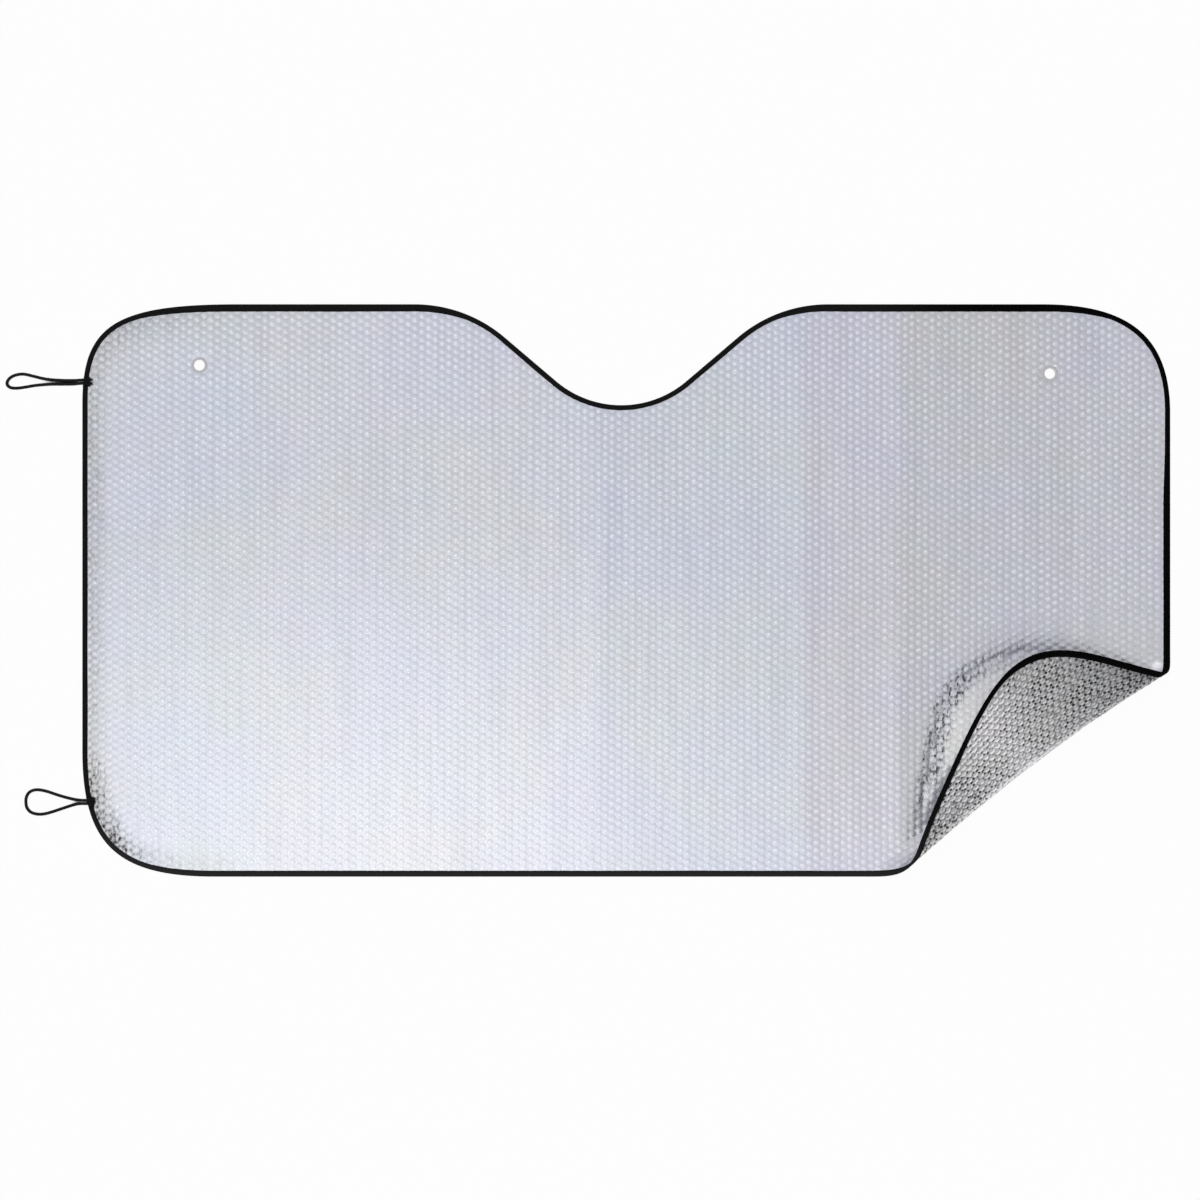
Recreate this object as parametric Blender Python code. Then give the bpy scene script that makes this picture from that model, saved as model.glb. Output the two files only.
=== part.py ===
"""Car sunshade: a bound sheet of foil bubble laminate with a mirror notch and two elastic loops.

The shade lies on its back, front face up, top edge towards +Y. Its bottom right corner is turned over.
Lengths are in metres and angles in degrees. The origin is the middle of the bound outline, on the
surface below.
"""

import math

import bmesh
import bpy
from mathutils import Vector
from mathutils.geometry import interpolate_bezier

# Outline of the whole shade, measured over the binding
SHADE_WIDTH = 1.300
SHADE_HEIGHT = 0.684

# Corners: reach along the side edge, reach along the top or bottom edge, and fullness of the curve
TOP_LEFT_CORNER = (0.118, 0.185, 0.79)
TOP_RIGHT_CORNER = (0.130, 0.152, 0.69)
BOTTOM_CORNER = (0.150, 0.157, 0.74)
CORNER_STEPS = 12

# Notch for the rear-view mirror, in the top edge
NOTCH_OFFSET = -0.006
NOTCH_DEPTH = 0.1206
NOTCH_BOTTOM_RADIUS = 0.120
NOTCH_SHOULDER_RADIUS = 0.166
NOTCH_FLANK_ANGLE = 40.4
NOTCH_SHOULDER_STEPS = 8
NOTCH_BOTTOM_STEPS = 18

# Bubble laminate, pressed thin where the tape holds it
SHEET_THICKNESS = 0.0040
PRESSED_THICKNESS = 0.0016
PRESSED_SLOPE = 0.0030

# Binding tape, folded over the edge
TAPE_THICKNESS = 0.0005
TAPE_REACH = 0.0066
TAPE_EXTRA_AT_TOP = 0.0022
TAPE_EXTRA_FADE = 0.0120
TAPE_NOSE_STEPS = 4
FIT_GAP = 0.0003

# Holes for suction cups, measured from the side edge and the top edge
CUP_HOLE_DIAMETER = 0.0130
LEFT_CUP_INSET = 0.140
LEFT_CUP_DROP = 0.073
RIGHT_CUP_INSET = 0.144
RIGHT_CUP_DROP = 0.083
CUP_HOLE_SIDES = 32

# Turned corner: where the roll starts on each edge, its radius there, and the angle it turns through
CURL_UP_RIGHT_EDGE = 0.2654
CURL_ALONG_BOTTOM_EDGE = 0.3639
CURL_RADIUS_AT_RIGHT = 0.0141
CURL_RADIUS_AT_BOTTOM = 0.0233
CURL_TURN = 141.6
CURL_BOW = 0.0111
CURL_STEP = 0.0036

# Flap past the roll: its bend in radians per metre, closing it further at the right, opening it at the bottom
FLAP_BEND_AT_RIGHT = 3.8
FLAP_BEND_AT_BOTTOM = -5.5
FLAP_STEP = 0.024
CROSS_STEP = 0.023
CUT_TOLERANCE = 0.00005

# Elastic loops: the cord, and the row of stitches that holds both its ends down on the tape
CORD_DIAMETER = 0.0036
CORD_POINT_SPACING = 0.0075
LOOP_LEG_SPACING = 0.0039
BARTACK_LENGTH = 0.0045
BARTACK_WALL = 0.0009
BARTACK_ARC_STEPS = 6
UPPER_BARTACK_FROM_EDGE = 0.0040
LOWER_BARTACK_FROM_EDGE = 0.0046

# Routes of the two cords, from one cut end on the panel round the loop to the other
UPPER_LOOP_ROUTE = (
    (-0.6388, 0.25135, 0.0062),
    (-0.6420, 0.25135, 0.0061),
    (-0.6460, 0.25135, 0.0059),
    (-0.6490, 0.25135, 0.0055),
    (-0.6535, 0.25120, 0.0039),
    (-0.6590, 0.25090, 0.0024),
    (-0.6720, 0.25095, 0.0020),
    (-0.6880, 0.25190, 0.0020),
    (-0.6985, 0.25355, 0.0020),
    (-0.7085, 0.25600, 0.0020),
    (-0.7210, 0.25850, 0.0020),
    (-0.7315, 0.25670, 0.0020),
    (-0.7380, 0.25230, 0.0020),
    (-0.7400, 0.24690, 0.0020),
    (-0.7366, 0.24270, 0.0020),
    (-0.7290, 0.24170, 0.0020),
    (-0.7185, 0.24290, 0.0020),
    (-0.7065, 0.24490, 0.0020),
    (-0.6885, 0.24640, 0.0020),
    (-0.6720, 0.24650, 0.0020),
    (-0.6590, 0.24670, 0.0024),
    (-0.6535, 0.24720, 0.0039),
    (-0.6490, 0.24745, 0.0055),
    (-0.6460, 0.24745, 0.0059),
    (-0.6420, 0.24745, 0.0061),
    (-0.6382, 0.24745, 0.0062),
)
LOWER_LOOP_ROUTE = (
    (-0.6342, -0.25065, 0.0062),
    (-0.6380, -0.25065, 0.0061),
    (-0.6430, -0.25065, 0.0059),
    (-0.6462, -0.25065, 0.0055),
    (-0.6507, -0.25060, 0.0039),
    (-0.6560, -0.25020, 0.0024),
    (-0.6640, -0.24870, 0.0020),
    (-0.6735, -0.24620, 0.0020),
    (-0.6830, -0.24320, 0.0020),
    (-0.6920, -0.24020, 0.0020),
    (-0.7010, -0.23830, 0.0020),
    (-0.7080, -0.23860, 0.0020),
    (-0.7135, -0.24140, 0.0020),
    (-0.7168, -0.24680, 0.0020),
    (-0.7174, -0.25340, 0.0020),
    (-0.7162, -0.25950, 0.0020),
    (-0.7122, -0.26440, 0.0020),
    (-0.7055, -0.26700, 0.0020),
    (-0.6970, -0.26720, 0.0020),
    (-0.6875, -0.26500, 0.0020),
    (-0.6765, -0.26140, 0.0020),
    (-0.6660, -0.25790, 0.0020),
    (-0.6570, -0.25530, 0.0024),
    (-0.6507, -0.25462, 0.0039),
    (-0.6462, -0.25455, 0.0055),
    (-0.6430, -0.25455, 0.0059),
    (-0.6380, -0.25455, 0.0061),
    (-0.6348, -0.25455, 0.0062),
)

# Sizes that follow from the ones above
HALF_WIDTH = SHADE_WIDTH / 2
HALF_HEIGHT = SHADE_HEIGHT / 2
SHEET_MIDDLE = SHEET_THICKNESS / 2
TAPE_INNER_RADIUS = PRESSED_THICKNESS / 2 + FIT_GAP
TAPE_OUTER_RADIUS = TAPE_INNER_RADIUS + TAPE_THICKNESS
TAPE_TOP = SHEET_MIDDLE + TAPE_OUTER_RADIUS
CORD_RADIUS = CORD_DIAMETER / 2
CURL_AT_RIGHT = Vector((HALF_WIDTH, CURL_UP_RIGHT_EDGE - HALF_HEIGHT))
CURL_AT_BOTTOM = Vector((HALF_WIDTH - CURL_ALONG_BOTTOM_EDGE, -HALF_HEIGHT))
CURL_LENGTH = (CURL_AT_BOTTOM - CURL_AT_RIGHT).length
CURL_ALONG = (CURL_AT_BOTTOM - CURL_AT_RIGHT) / CURL_LENGTH
CURL_OUT = Vector((-CURL_ALONG.y, CURL_ALONG.x))


def clear_scene():
    for item in list(bpy.data.objects):
        bpy.data.objects.remove(item, do_unlink=True)


def material(name, colour, roughness, metallic):
    made = bpy.data.materials.new(name)
    made.use_nodes = True
    shader = made.node_tree.nodes["Principled BSDF"]
    shader.inputs["Base Color"].default_value = (*colour, 1.0)
    shader.inputs["Roughness"].default_value = roughness
    shader.inputs["Metallic"].default_value = metallic
    made.diffuse_color = (*colour, 1.0)
    return made


def finished_object(name, bm, finish):
    """Turn a bmesh into a smooth-shaded object of the scene."""
    bmesh.ops.recalc_face_normals(bm, faces=bm.faces[:])
    mesh = bpy.data.meshes.new(name)
    bm.to_mesh(mesh)
    bm.free()
    mesh.shade_smooth()
    mesh.set_sharp_from_angle(angle=math.radians(30))
    mesh.materials.append(finish)
    made = bpy.data.objects.new(name, mesh)
    bpy.context.scene.collection.objects.link(made)
    return made


def mix(first, second, share):
    return first + (second - first) * share


def arc(centre, radius, start, end, steps):
    """Points on an arc, both ends included; angles in radians."""
    angles = [mix(start, end, i / steps) for i in range(steps + 1)]
    return [centre + radius * Vector((math.cos(a), math.sin(a))) for a in angles]


def corner(side_x, side_y, shape, from_side):
    """A full rounded corner at one end of a side edge, read in the outline's clockwise order."""
    reach_y, reach_x, fullness = shape
    tip = Vector((side_x * HALF_WIDTH, side_y * HALF_HEIGHT))
    on_side = tip - Vector((0, side_y * reach_y))
    on_edge = tip - Vector((side_x * reach_x, 0))
    side_handle = mix(on_side, tip, fullness)
    edge_handle = mix(on_edge, tip, fullness)
    if from_side:
        return interpolate_bezier(on_side, side_handle, edge_handle, on_edge, CORNER_STEPS + 1)
    return interpolate_bezier(on_edge, edge_handle, side_handle, on_side, CORNER_STEPS + 1)


def notch():
    """The mirror notch from left to right: shoulder arc, straight flank, bottom arc, and the same back up."""
    turn = math.radians(NOTCH_FLANK_ANGLE)
    both_radii = NOTCH_BOTTOM_RADIUS + NOTCH_SHOULDER_RADIUS
    flank = (NOTCH_DEPTH - both_radii * (1 - math.cos(turn))) / math.sin(turn)
    half_width = both_radii * math.sin(turn) + flank * math.cos(turn)
    up = math.pi / 2
    shoulder = Vector((half_width, -NOTCH_SHOULDER_RADIUS))
    bottom = Vector((0, NOTCH_BOTTOM_RADIUS - NOTCH_DEPTH))
    left = arc(Vector((-shoulder.x, shoulder.y)), NOTCH_SHOULDER_RADIUS, up, up - turn, NOTCH_SHOULDER_STEPS)
    middle = arc(bottom, NOTCH_BOTTOM_RADIUS, -up - turn, turn - up, NOTCH_BOTTOM_STEPS)
    right = arc(shoulder, NOTCH_SHOULDER_RADIUS, up + turn, up, NOTCH_SHOULDER_STEPS)
    return [Vector((NOTCH_OFFSET, HALF_HEIGHT)) + point for point in left + middle + right]


def outline():
    """Points of the bound outline, clockwise seen from the front, each with its outward direction."""
    points = corner(-1, 1, TOP_LEFT_CORNER, True)
    points += notch()
    points += corner(1, 1, TOP_RIGHT_CORNER, False)
    points += corner(1, -1, BOTTOM_CORNER, True)
    points += corner(-1, -1, BOTTOM_CORNER, False)
    found = []
    for i, point in enumerate(points):
        before = (point - points[i - 1]).normalized()
        after = (points[(i + 1) % len(points)] - point).normalized()
        along = (before + after).normalized()
        found.append((point, Vector((-along.y, along.x))))
    return found


def tape_reach(point):
    """How far the tape reaches in from the edge: a little further along the straight top."""
    below_top = HALF_HEIGHT - point.y
    return TAPE_REACH + TAPE_EXTRA_AT_TOP * max(0.0, 1 - below_top / TAPE_EXTRA_FADE)


def sheet_point(flat):
    """Place a point of the flat pattern on the shade as it lies; z is its height above the sheet's middle."""
    rise = flat.z
    from_line = flat.xy - CURL_AT_RIGHT
    share = from_line.dot(CURL_ALONG) / CURL_LENGTH
    past = from_line.dot(CURL_OUT) + 4 * CURL_BOW * share * (1 - share)
    if past <= 0:
        return Vector((flat.x, flat.y, SHEET_MIDDLE + rise))
    radius = mix(CURL_RADIUS_AT_RIGHT, CURL_RADIUS_AT_BOTTOM, share)
    angle = min(past / radius, math.radians(CURL_TURN))
    beyond = past - radius * angle
    bend = mix(FLAP_BEND_AT_RIGHT, FLAP_BEND_AT_BOTTOM, share) * beyond
    out = radius * math.sin(angle) + beyond * math.cos(angle + bend / 2)
    out -= rise * math.sin(angle + bend)
    up = radius - radius * math.cos(angle) + beyond * math.sin(angle + bend / 2)
    up += rise * math.cos(angle + bend)
    place = flat.xy + CURL_OUT * (out - past)
    return Vector((place.x, place.y, SHEET_MIDDLE + up))


def cut(bm, near, across, only_beyond=None):
    """Cut the mesh along a plane; with only_beyond, only the faces past that distance over the curl line."""
    faces = bm.faces[:]
    if only_beyond is not None:
        faces = [f for f in faces if curl_distance(f.calc_center_median()) > only_beyond]
    edges = {e for f in faces for e in f.edges}
    verts = {v for f in faces for v in f.verts}
    bmesh.ops.bisect_plane(
        bm,
        geom=[*verts, *edges, *faces],
        dist=CUT_TOLERANCE,
        plane_co=near.to_3d(),
        plane_no=across.to_3d(),
    )


def curl_distance(point):
    return (point.xy - CURL_AT_RIGHT).dot(CURL_OUT)


def turn_corner_over(bm):
    """Cut the flat pattern where it will bend, then bend it."""
    tip = curl_distance(Vector((HALF_WIDTH, -HALF_HEIGHT)))
    roll_end = max(CURL_RADIUS_AT_RIGHT, CURL_RADIUS_AT_BOTTOM) * math.radians(CURL_TURN)
    first = -CURL_BOW - CURL_STEP / 2
    distance = first
    while distance < tip:
        cut(bm, CURL_AT_RIGHT + CURL_OUT * distance, CURL_OUT)
        distance += CURL_STEP if distance < roll_end else FLAP_STEP
    crossings = math.ceil(CURL_LENGTH / CROSS_STEP)
    for i in range(crossings + 1):
        near = CURL_AT_RIGHT + CURL_ALONG * (CURL_LENGTH * i / crossings)
        cut(bm, near, CURL_ALONG, only_beyond=first)
    for vert in bm.verts:
        vert.co = sheet_point(vert.co)


def ring(bm, insets, rise):
    """One closed row of vertices round the outline, set in by insets and lifted by rise."""
    return [
        bm.verts.new((point - outward * inset).to_3d() + Vector((0, 0, rise)))
        for (point, outward), inset in zip(outline(), insets)
    ]


def join_rings(bm, first, second):
    for i in range(len(first)):
        bm.faces.new((first[i - 1], first[i], second[i], second[i - 1]))


def laminate_panel(finish):
    """The foil sheet: full thickness inside, sloping down to a pressed edge that the tape holds."""
    pressed_from = [tape_reach(point) + FIT_GAP for point, _ in outline()]
    full_from = [inset + PRESSED_SLOPE for inset in pressed_from]
    edge_at = [TAPE_OUTER_RADIUS] * len(pressed_from)
    full = SHEET_THICKNESS / 2
    pressed = PRESSED_THICKNESS / 2
    bm = bmesh.new()
    rows = [
        ring(bm, full_from, -full),
        ring(bm, pressed_from, -pressed),
        ring(bm, edge_at, -pressed),
        ring(bm, edge_at, pressed),
        ring(bm, pressed_from, pressed),
        ring(bm, full_from, full),
    ]
    for lower, upper in zip(rows, rows[1:]):
        join_rings(bm, lower, upper)
    bm.faces.new(rows[0])
    bm.faces.new(rows[-1])
    turn_corner_over(bm)
    panel = finished_object("laminate_panel", bm, finish)
    punch_cup_hole(panel, "left_cup_hole", LEFT_CUP_INSET - HALF_WIDTH, HALF_HEIGHT - LEFT_CUP_DROP)
    punch_cup_hole(panel, "right_cup_hole", HALF_WIDTH - RIGHT_CUP_INSET, HALF_HEIGHT - RIGHT_CUP_DROP)
    return panel


def punch_cup_hole(panel, name, x, y):
    """A hidden round punch, longer than the sheet is thick, cut from the panel."""
    bm = bmesh.new()
    bmesh.ops.create_cone(
        bm,
        cap_ends=True,
        segments=CUP_HOLE_SIDES,
        radius1=CUP_HOLE_DIAMETER / 2,
        radius2=CUP_HOLE_DIAMETER / 2,
        depth=3 * SHEET_THICKNESS,
    )
    mesh = bpy.data.meshes.new(name)
    bm.to_mesh(mesh)
    bm.free()
    punch = bpy.data.objects.new(name, mesh)
    punch.location = (x, y, SHEET_MIDDLE)
    punch.hide_render = True
    punch.display_type = "WIRE"
    bpy.context.scene.collection.objects.link(punch)
    hole = panel.modifiers.new(name, "BOOLEAN")
    hole.operation = "DIFFERENCE"
    hole.object = punch


def edge_binding(finish):
    """The tape: two legs joined by a rounded nose round the edge of the sheet, as one closed band."""
    reach = [tape_reach(point) for point, _ in outline()]
    nose = [mix(90, -90, i / TAPE_NOSE_STEPS) for i in range(TAPE_NOSE_STEPS + 1)]
    bm = bmesh.new()
    rows = [ring(bm, reach, TAPE_OUTER_RADIUS)]
    rows += [tape_nose_row(bm, TAPE_OUTER_RADIUS, angle) for angle in nose]
    rows += [ring(bm, reach, -TAPE_OUTER_RADIUS), ring(bm, reach, -TAPE_INNER_RADIUS)]
    rows += [tape_nose_row(bm, TAPE_INNER_RADIUS, angle) for angle in reversed(nose)]
    rows += [ring(bm, reach, TAPE_INNER_RADIUS)]
    for i, row in enumerate(rows):
        join_rings(bm, rows[i - 1], row)
    turn_corner_over(bm)
    return finished_object("edge_binding", bm, finish)


def tape_nose_row(bm, radius, degrees):
    """One row of the nose, which turns about a line set in from the edge by the tape's outer radius."""
    inset = TAPE_OUTER_RADIUS - radius * math.cos(math.radians(degrees))
    return ring(bm, [inset] * len(outline()), radius * math.sin(math.radians(degrees)))


def smooth_route(route, spacing):
    """Evenly spaced points on one smooth curve through a cord's route."""
    points = [Vector(point) for point in route]
    fine = [points[0]]
    for i in range(len(points) - 1):
        before, start, end = points[max(i - 1, 0)], points[i], points[i + 1]
        after = points[min(i + 2, len(points) - 1)]
        span = (end - start).length
        leave = start + (end - before).normalized() * span / 3
        arrive = end - (after - start).normalized() * span / 3
        fine += interpolate_bezier(start, leave, arrive, end, 16)[1:]
    lengths = [0.0]
    for before, after in zip(fine, fine[1:]):
        lengths.append(lengths[-1] + (after - before).length)
    count = round(lengths[-1] / spacing)
    found = []
    at = 0
    for i in range(count + 1):
        wanted = lengths[-1] * i / count
        while at < len(fine) - 2 and lengths[at + 1] < wanted:
            at += 1
        share = (wanted - lengths[at]) / (lengths[at + 1] - lengths[at])
        found.append(mix(fine[at], fine[at + 1], share))
    return found


def elastic_loop(name, route, finish):
    """A round elastic cord along its route, closed at both cut ends."""
    points = smooth_route(route, CORD_POINT_SPACING)
    curve = bpy.data.curves.new(name, "CURVE")
    curve.dimensions = "3D"
    curve.bevel_depth = CORD_RADIUS
    curve.bevel_resolution = 2
    curve.use_fill_caps = True
    spline = curve.splines.new("POLY")
    spline.points.add(len(points) - 1)
    for spline_point, point in zip(spline.points, points):
        spline_point.co = (*point, 1.0)
    spline.use_smooth = True
    curve.materials.append(finish)
    made = bpy.data.objects.new(name, curve)
    bpy.context.scene.collection.objects.link(made)
    return made


def staple_side(half_flat, radius, foot):
    """One line of the stitch saddle's section, from its left foot over both cords to its right foot."""
    left = arc(Vector((-half_flat, 0)), radius, math.pi, math.pi / 2, BARTACK_ARC_STEPS)
    right = arc(Vector((half_flat, 0)), radius, math.pi / 2, 0, BARTACK_ARC_STEPS)
    return [Vector((left[0].x, foot)), *left, *right, Vector((right[-1].x, foot))]


def left_edge_at(y):
    """Where the left side of the bound outline crosses a level y."""
    points = [point for point, _ in outline()]
    crossings = []
    for i, end in enumerate(points):
        start = points[i - 1]
        if min(start.y, end.y) <= y <= max(start.y, end.y) and start.y != end.y:
            crossings.append(mix(start.x, end.x, (y - start.y) / (end.y - start.y)))
    return min(crossings)


def loop_bartack(name, route, from_edge, finish):
    """A saddle of close stitches over the two ends of a loop, standing on the tape."""
    middle_y = (route[0][1] + route[-1][1]) / 2
    cord_height = TAPE_TOP + 2 * FIT_GAP + CORD_RADIUS
    foot = TAPE_TOP + FIT_GAP - cord_height
    inner = staple_side(LOOP_LEG_SPACING / 2, CORD_RADIUS + FIT_GAP, foot)
    outer = staple_side(LOOP_LEG_SPACING / 2, CORD_RADIUS + FIT_GAP + BARTACK_WALL, foot)
    start_x = left_edge_at(middle_y) + from_edge - BARTACK_LENGTH / 2
    bm = bmesh.new()
    rim = [
        bm.verts.new((start_x, middle_y + point.x, cord_height + point.y))
        for point in outer + inner[::-1]
    ]
    face = bm.faces.new(rim)
    grown = bmesh.ops.extrude_face_region(bm, geom=[face])["geom"]
    moved = [item for item in grown if isinstance(item, bmesh.types.BMVert)]
    bmesh.ops.translate(bm, verts=moved, vec=(BARTACK_LENGTH, 0, 0))
    return finished_object(name, bm, finish)


def main():
    clear_scene()
    foil = material("silver_bubble_foil", (0.62, 0.62, 0.67), 0.38, 0.75)
    tape = material("black_binding_tape", (0.012, 0.012, 0.013), 0.75, 0.0)
    elastic = material("black_elastic_cord", (0.020, 0.020, 0.021), 0.70, 0.0)
    thread = material("black_sewing_thread", (0.015, 0.015, 0.016), 0.60, 0.0)
    laminate_panel(foil)
    edge_binding(tape)
    elastic_loop("upper_elastic_loop", UPPER_LOOP_ROUTE, elastic)
    elastic_loop("lower_elastic_loop", LOWER_LOOP_ROUTE, elastic)
    loop_bartack("upper_loop_bartack", UPPER_LOOP_ROUTE, UPPER_BARTACK_FROM_EDGE, thread)
    loop_bartack("lower_loop_bartack", LOWER_LOOP_ROUTE, LOWER_BARTACK_FROM_EDGE, thread)


main()
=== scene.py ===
"""Dresses the windscreen shade: bubbled foil films, sewn binding, braided loops with bar tacks, and a studio.

The flat pattern has x to the right and y to the top edge, with the same outline and the same turned corner
as the solids. A place on it is (x, y, rise), where rise is the height above the middle of the sheet.
"""

import math

import bmesh
import bpy
import numpy as np
from bpy.props import FloatProperty, FloatVectorProperty, PointerProperty
from bpy.types import Operator, Panel, PropertyGroup
from mathutils import Matrix, Vector, kdtree, noise
from mathutils.geometry import interpolate_bezier


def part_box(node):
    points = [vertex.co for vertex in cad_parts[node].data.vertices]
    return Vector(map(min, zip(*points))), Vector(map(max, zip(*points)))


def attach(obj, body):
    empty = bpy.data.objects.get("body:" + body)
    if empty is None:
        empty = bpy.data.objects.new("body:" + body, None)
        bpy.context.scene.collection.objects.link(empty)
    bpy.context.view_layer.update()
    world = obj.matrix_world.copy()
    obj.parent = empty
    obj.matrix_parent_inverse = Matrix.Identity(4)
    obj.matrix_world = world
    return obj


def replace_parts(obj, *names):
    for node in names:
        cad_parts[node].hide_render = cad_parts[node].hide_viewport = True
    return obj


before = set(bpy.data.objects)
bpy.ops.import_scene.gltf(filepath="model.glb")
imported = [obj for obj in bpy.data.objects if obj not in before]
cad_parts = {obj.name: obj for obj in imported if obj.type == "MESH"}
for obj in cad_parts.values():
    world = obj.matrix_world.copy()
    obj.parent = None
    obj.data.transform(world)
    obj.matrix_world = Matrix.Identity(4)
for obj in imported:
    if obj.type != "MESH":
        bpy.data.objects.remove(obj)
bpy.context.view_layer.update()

bl_info = {
    "name": "Windscreen Shade",
    "version": (1, 0, 0),
    "blender": (4, 5, 0),
    "location": "3D View > Sidebar > Shade",
    "description": "Models a bound bubble foil windscreen shade with its loops and a small studio",
    "category": "Add Mesh",
}

MM = 0.001
BODY = "root"
SHADE_LOW, SHADE_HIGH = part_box("edge_binding")
SEED = 7

# Distances within which points that meet are joined
BUBBLE_WELD = 0.01 * MM
SEAM_WELD = 0.001 * MM
STITCH_WELD = 0.0001 * MM

# Steps of curves, and where the tape's reach changes along the bound outline
CORNER_STEPS = 60
ARC_STEPS = 40
EDGE_STEP = 1 * MM
CREASE_STEP = 2 * MM
ROUTE_STEPS = 16
BEND_STEPS = 20
FULL_BEND = 8.0
RIGHT_EDGE_FROM = (0.590, 0.630)
RIGHT_EXTRA_UP_TO = (0.100, 0.180)

# Sheet: its middle, and how thin it is pressed under the tape
SHEET_MIDDLE = 2 * MM
SHEET_HALF = 2 * MM
PRESSED_HALF = 0.8 * MM

# Routes of the two elastic cords, from one cut end on the panel round the loop to the other
UPPER_LOOP_ROUTE = (
    (-0.6388, 0.25135, 0.0062),
    (-0.6420, 0.25135, 0.0061),
    (-0.6460, 0.25135, 0.0059),
    (-0.6490, 0.25135, 0.0055),
    (-0.6535, 0.25120, 0.0039),
    (-0.6590, 0.25090, 0.0024),
    (-0.6720, 0.25095, 0.0020),
    (-0.6880, 0.25190, 0.0020),
    (-0.6985, 0.25355, 0.0020),
    (-0.7085, 0.25600, 0.0020),
    (-0.7210, 0.25850, 0.0020),
    (-0.7315, 0.25670, 0.0020),
    (-0.7380, 0.25230, 0.0020),
    (-0.7400, 0.24690, 0.0020),
    (-0.7366, 0.24270, 0.0020),
    (-0.7290, 0.24170, 0.0020),
    (-0.7185, 0.24290, 0.0020),
    (-0.7065, 0.24490, 0.0020),
    (-0.6885, 0.24640, 0.0020),
    (-0.6720, 0.24650, 0.0020),
    (-0.6590, 0.24670, 0.0024),
    (-0.6535, 0.24720, 0.0039),
    (-0.6490, 0.24745, 0.0055),
    (-0.6460, 0.24745, 0.0059),
    (-0.6420, 0.24745, 0.0061),
    (-0.6382, 0.24745, 0.0062),
)
LOWER_LOOP_ROUTE = (
    (-0.6342, -0.25065, 0.0062),
    (-0.6380, -0.25065, 0.0061),
    (-0.6430, -0.25065, 0.0059),
    (-0.6462, -0.25065, 0.0055),
    (-0.6507, -0.25060, 0.0039),
    (-0.6560, -0.25020, 0.0024),
    (-0.6640, -0.24870, 0.0020),
    (-0.6735, -0.24620, 0.0020),
    (-0.6830, -0.24320, 0.0020),
    (-0.6920, -0.24020, 0.0020),
    (-0.7010, -0.23830, 0.0020),
    (-0.7080, -0.23860, 0.0020),
    (-0.7135, -0.24140, 0.0020),
    (-0.7168, -0.24680, 0.0020),
    (-0.7174, -0.25340, 0.0020),
    (-0.7162, -0.25950, 0.0020),
    (-0.7122, -0.26440, 0.0020),
    (-0.7055, -0.26700, 0.0020),
    (-0.6970, -0.26720, 0.0020),
    (-0.6875, -0.26500, 0.0020),
    (-0.6765, -0.26140, 0.0020),
    (-0.6660, -0.25790, 0.0020),
    (-0.6570, -0.25530, 0.0024),
    (-0.6507, -0.25462, 0.0039),
    (-0.6462, -0.25455, 0.0055),
    (-0.6430, -0.25455, 0.0059),
    (-0.6380, -0.25455, 0.0061),
    (-0.6348, -0.25455, 0.0062),
)

# Crease that the turned corner pulls into the sheet beside it, from the right to the bottom
CREASE_ROUTE = (
    (0.5000, -0.0700, 0),
    (0.4742, -0.0732, 0),
    (0.4424, -0.0830, 0),
    (0.4034, -0.1042, 0),
    (0.3803, -0.1354, 0),
    (0.3730, -0.1626, 0),
    (0.3644, -0.2008, 0),
    (0.3571, -0.2427, 0),
    (0.3505, -0.2797, 0),
    (0.3460, -0.3150, 0),
)


class ShadeOutline(PropertyGroup):
    width: FloatProperty(
        name="Width",
        description="Width over the binding",
        unit="LENGTH",
        default=SHADE_HIGH.x - SHADE_LOW.x,
    )
    height: FloatProperty(
        name="Height",
        description="Height over the binding",
        unit="LENGTH",
        default=SHADE_HIGH.y - SHADE_LOW.y,
    )
    top_left_corner: FloatVectorProperty(
        name="Top left corner",
        description="Reach along the side edge, reach along the top edge, and fullness of the curve",
        default=(0.118, 0.185, 0.79),
    )
    top_right_corner: FloatVectorProperty(
        name="Top right corner",
        description="Reach along the side edge, reach along the top edge, and fullness of the curve",
        default=(0.130, 0.152, 0.69),
    )
    bottom_corner: FloatVectorProperty(
        name="Bottom corners",
        description="Reach along the side edge, reach along the bottom edge, and fullness of the curve",
        default=(0.150, 0.157, 0.74),
    )
    notch_offset: FloatProperty(
        name="Notch offset",
        description="Middle of the mirror notch from the middle of the shade",
        unit="LENGTH",
        default=-0.006,
    )
    notch_depth: FloatProperty(
        name="Notch depth",
        description="Depth of the mirror notch",
        unit="LENGTH",
        default=0.1206,
    )
    notch_bottom_radius: FloatProperty(
        name="Notch bottom radius",
        description="Radius of the bottom of the notch",
        unit="LENGTH",
        default=0.120,
    )
    notch_shoulder_radius: FloatProperty(
        name="Notch shoulder radius",
        description="Radius of the shoulders of the notch",
        unit="LENGTH",
        default=0.166,
    )
    notch_flank_angle: FloatProperty(
        name="Notch flank angle",
        description="Angle of the notch's flanks to the top edge",
        subtype="ANGLE",
        default=math.radians(40.4),
    )
    left_cup_hole: FloatVectorProperty(
        name="Left cup hole",
        description="Centre of the left suction cup hole",
        size=2,
        subtype="XYZ_LENGTH",
        default=(-0.510, 0.269),
    )
    right_cup_hole: FloatVectorProperty(
        name="Right cup hole",
        description="Centre of the right suction cup hole",
        size=2,
        subtype="XYZ_LENGTH",
        default=(0.506, 0.259),
    )
    cup_hole_diameter: FloatProperty(
        name="Cup hole diameter",
        description="Diameter of the suction cup holes",
        unit="LENGTH",
        default=0.013,
    )


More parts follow.
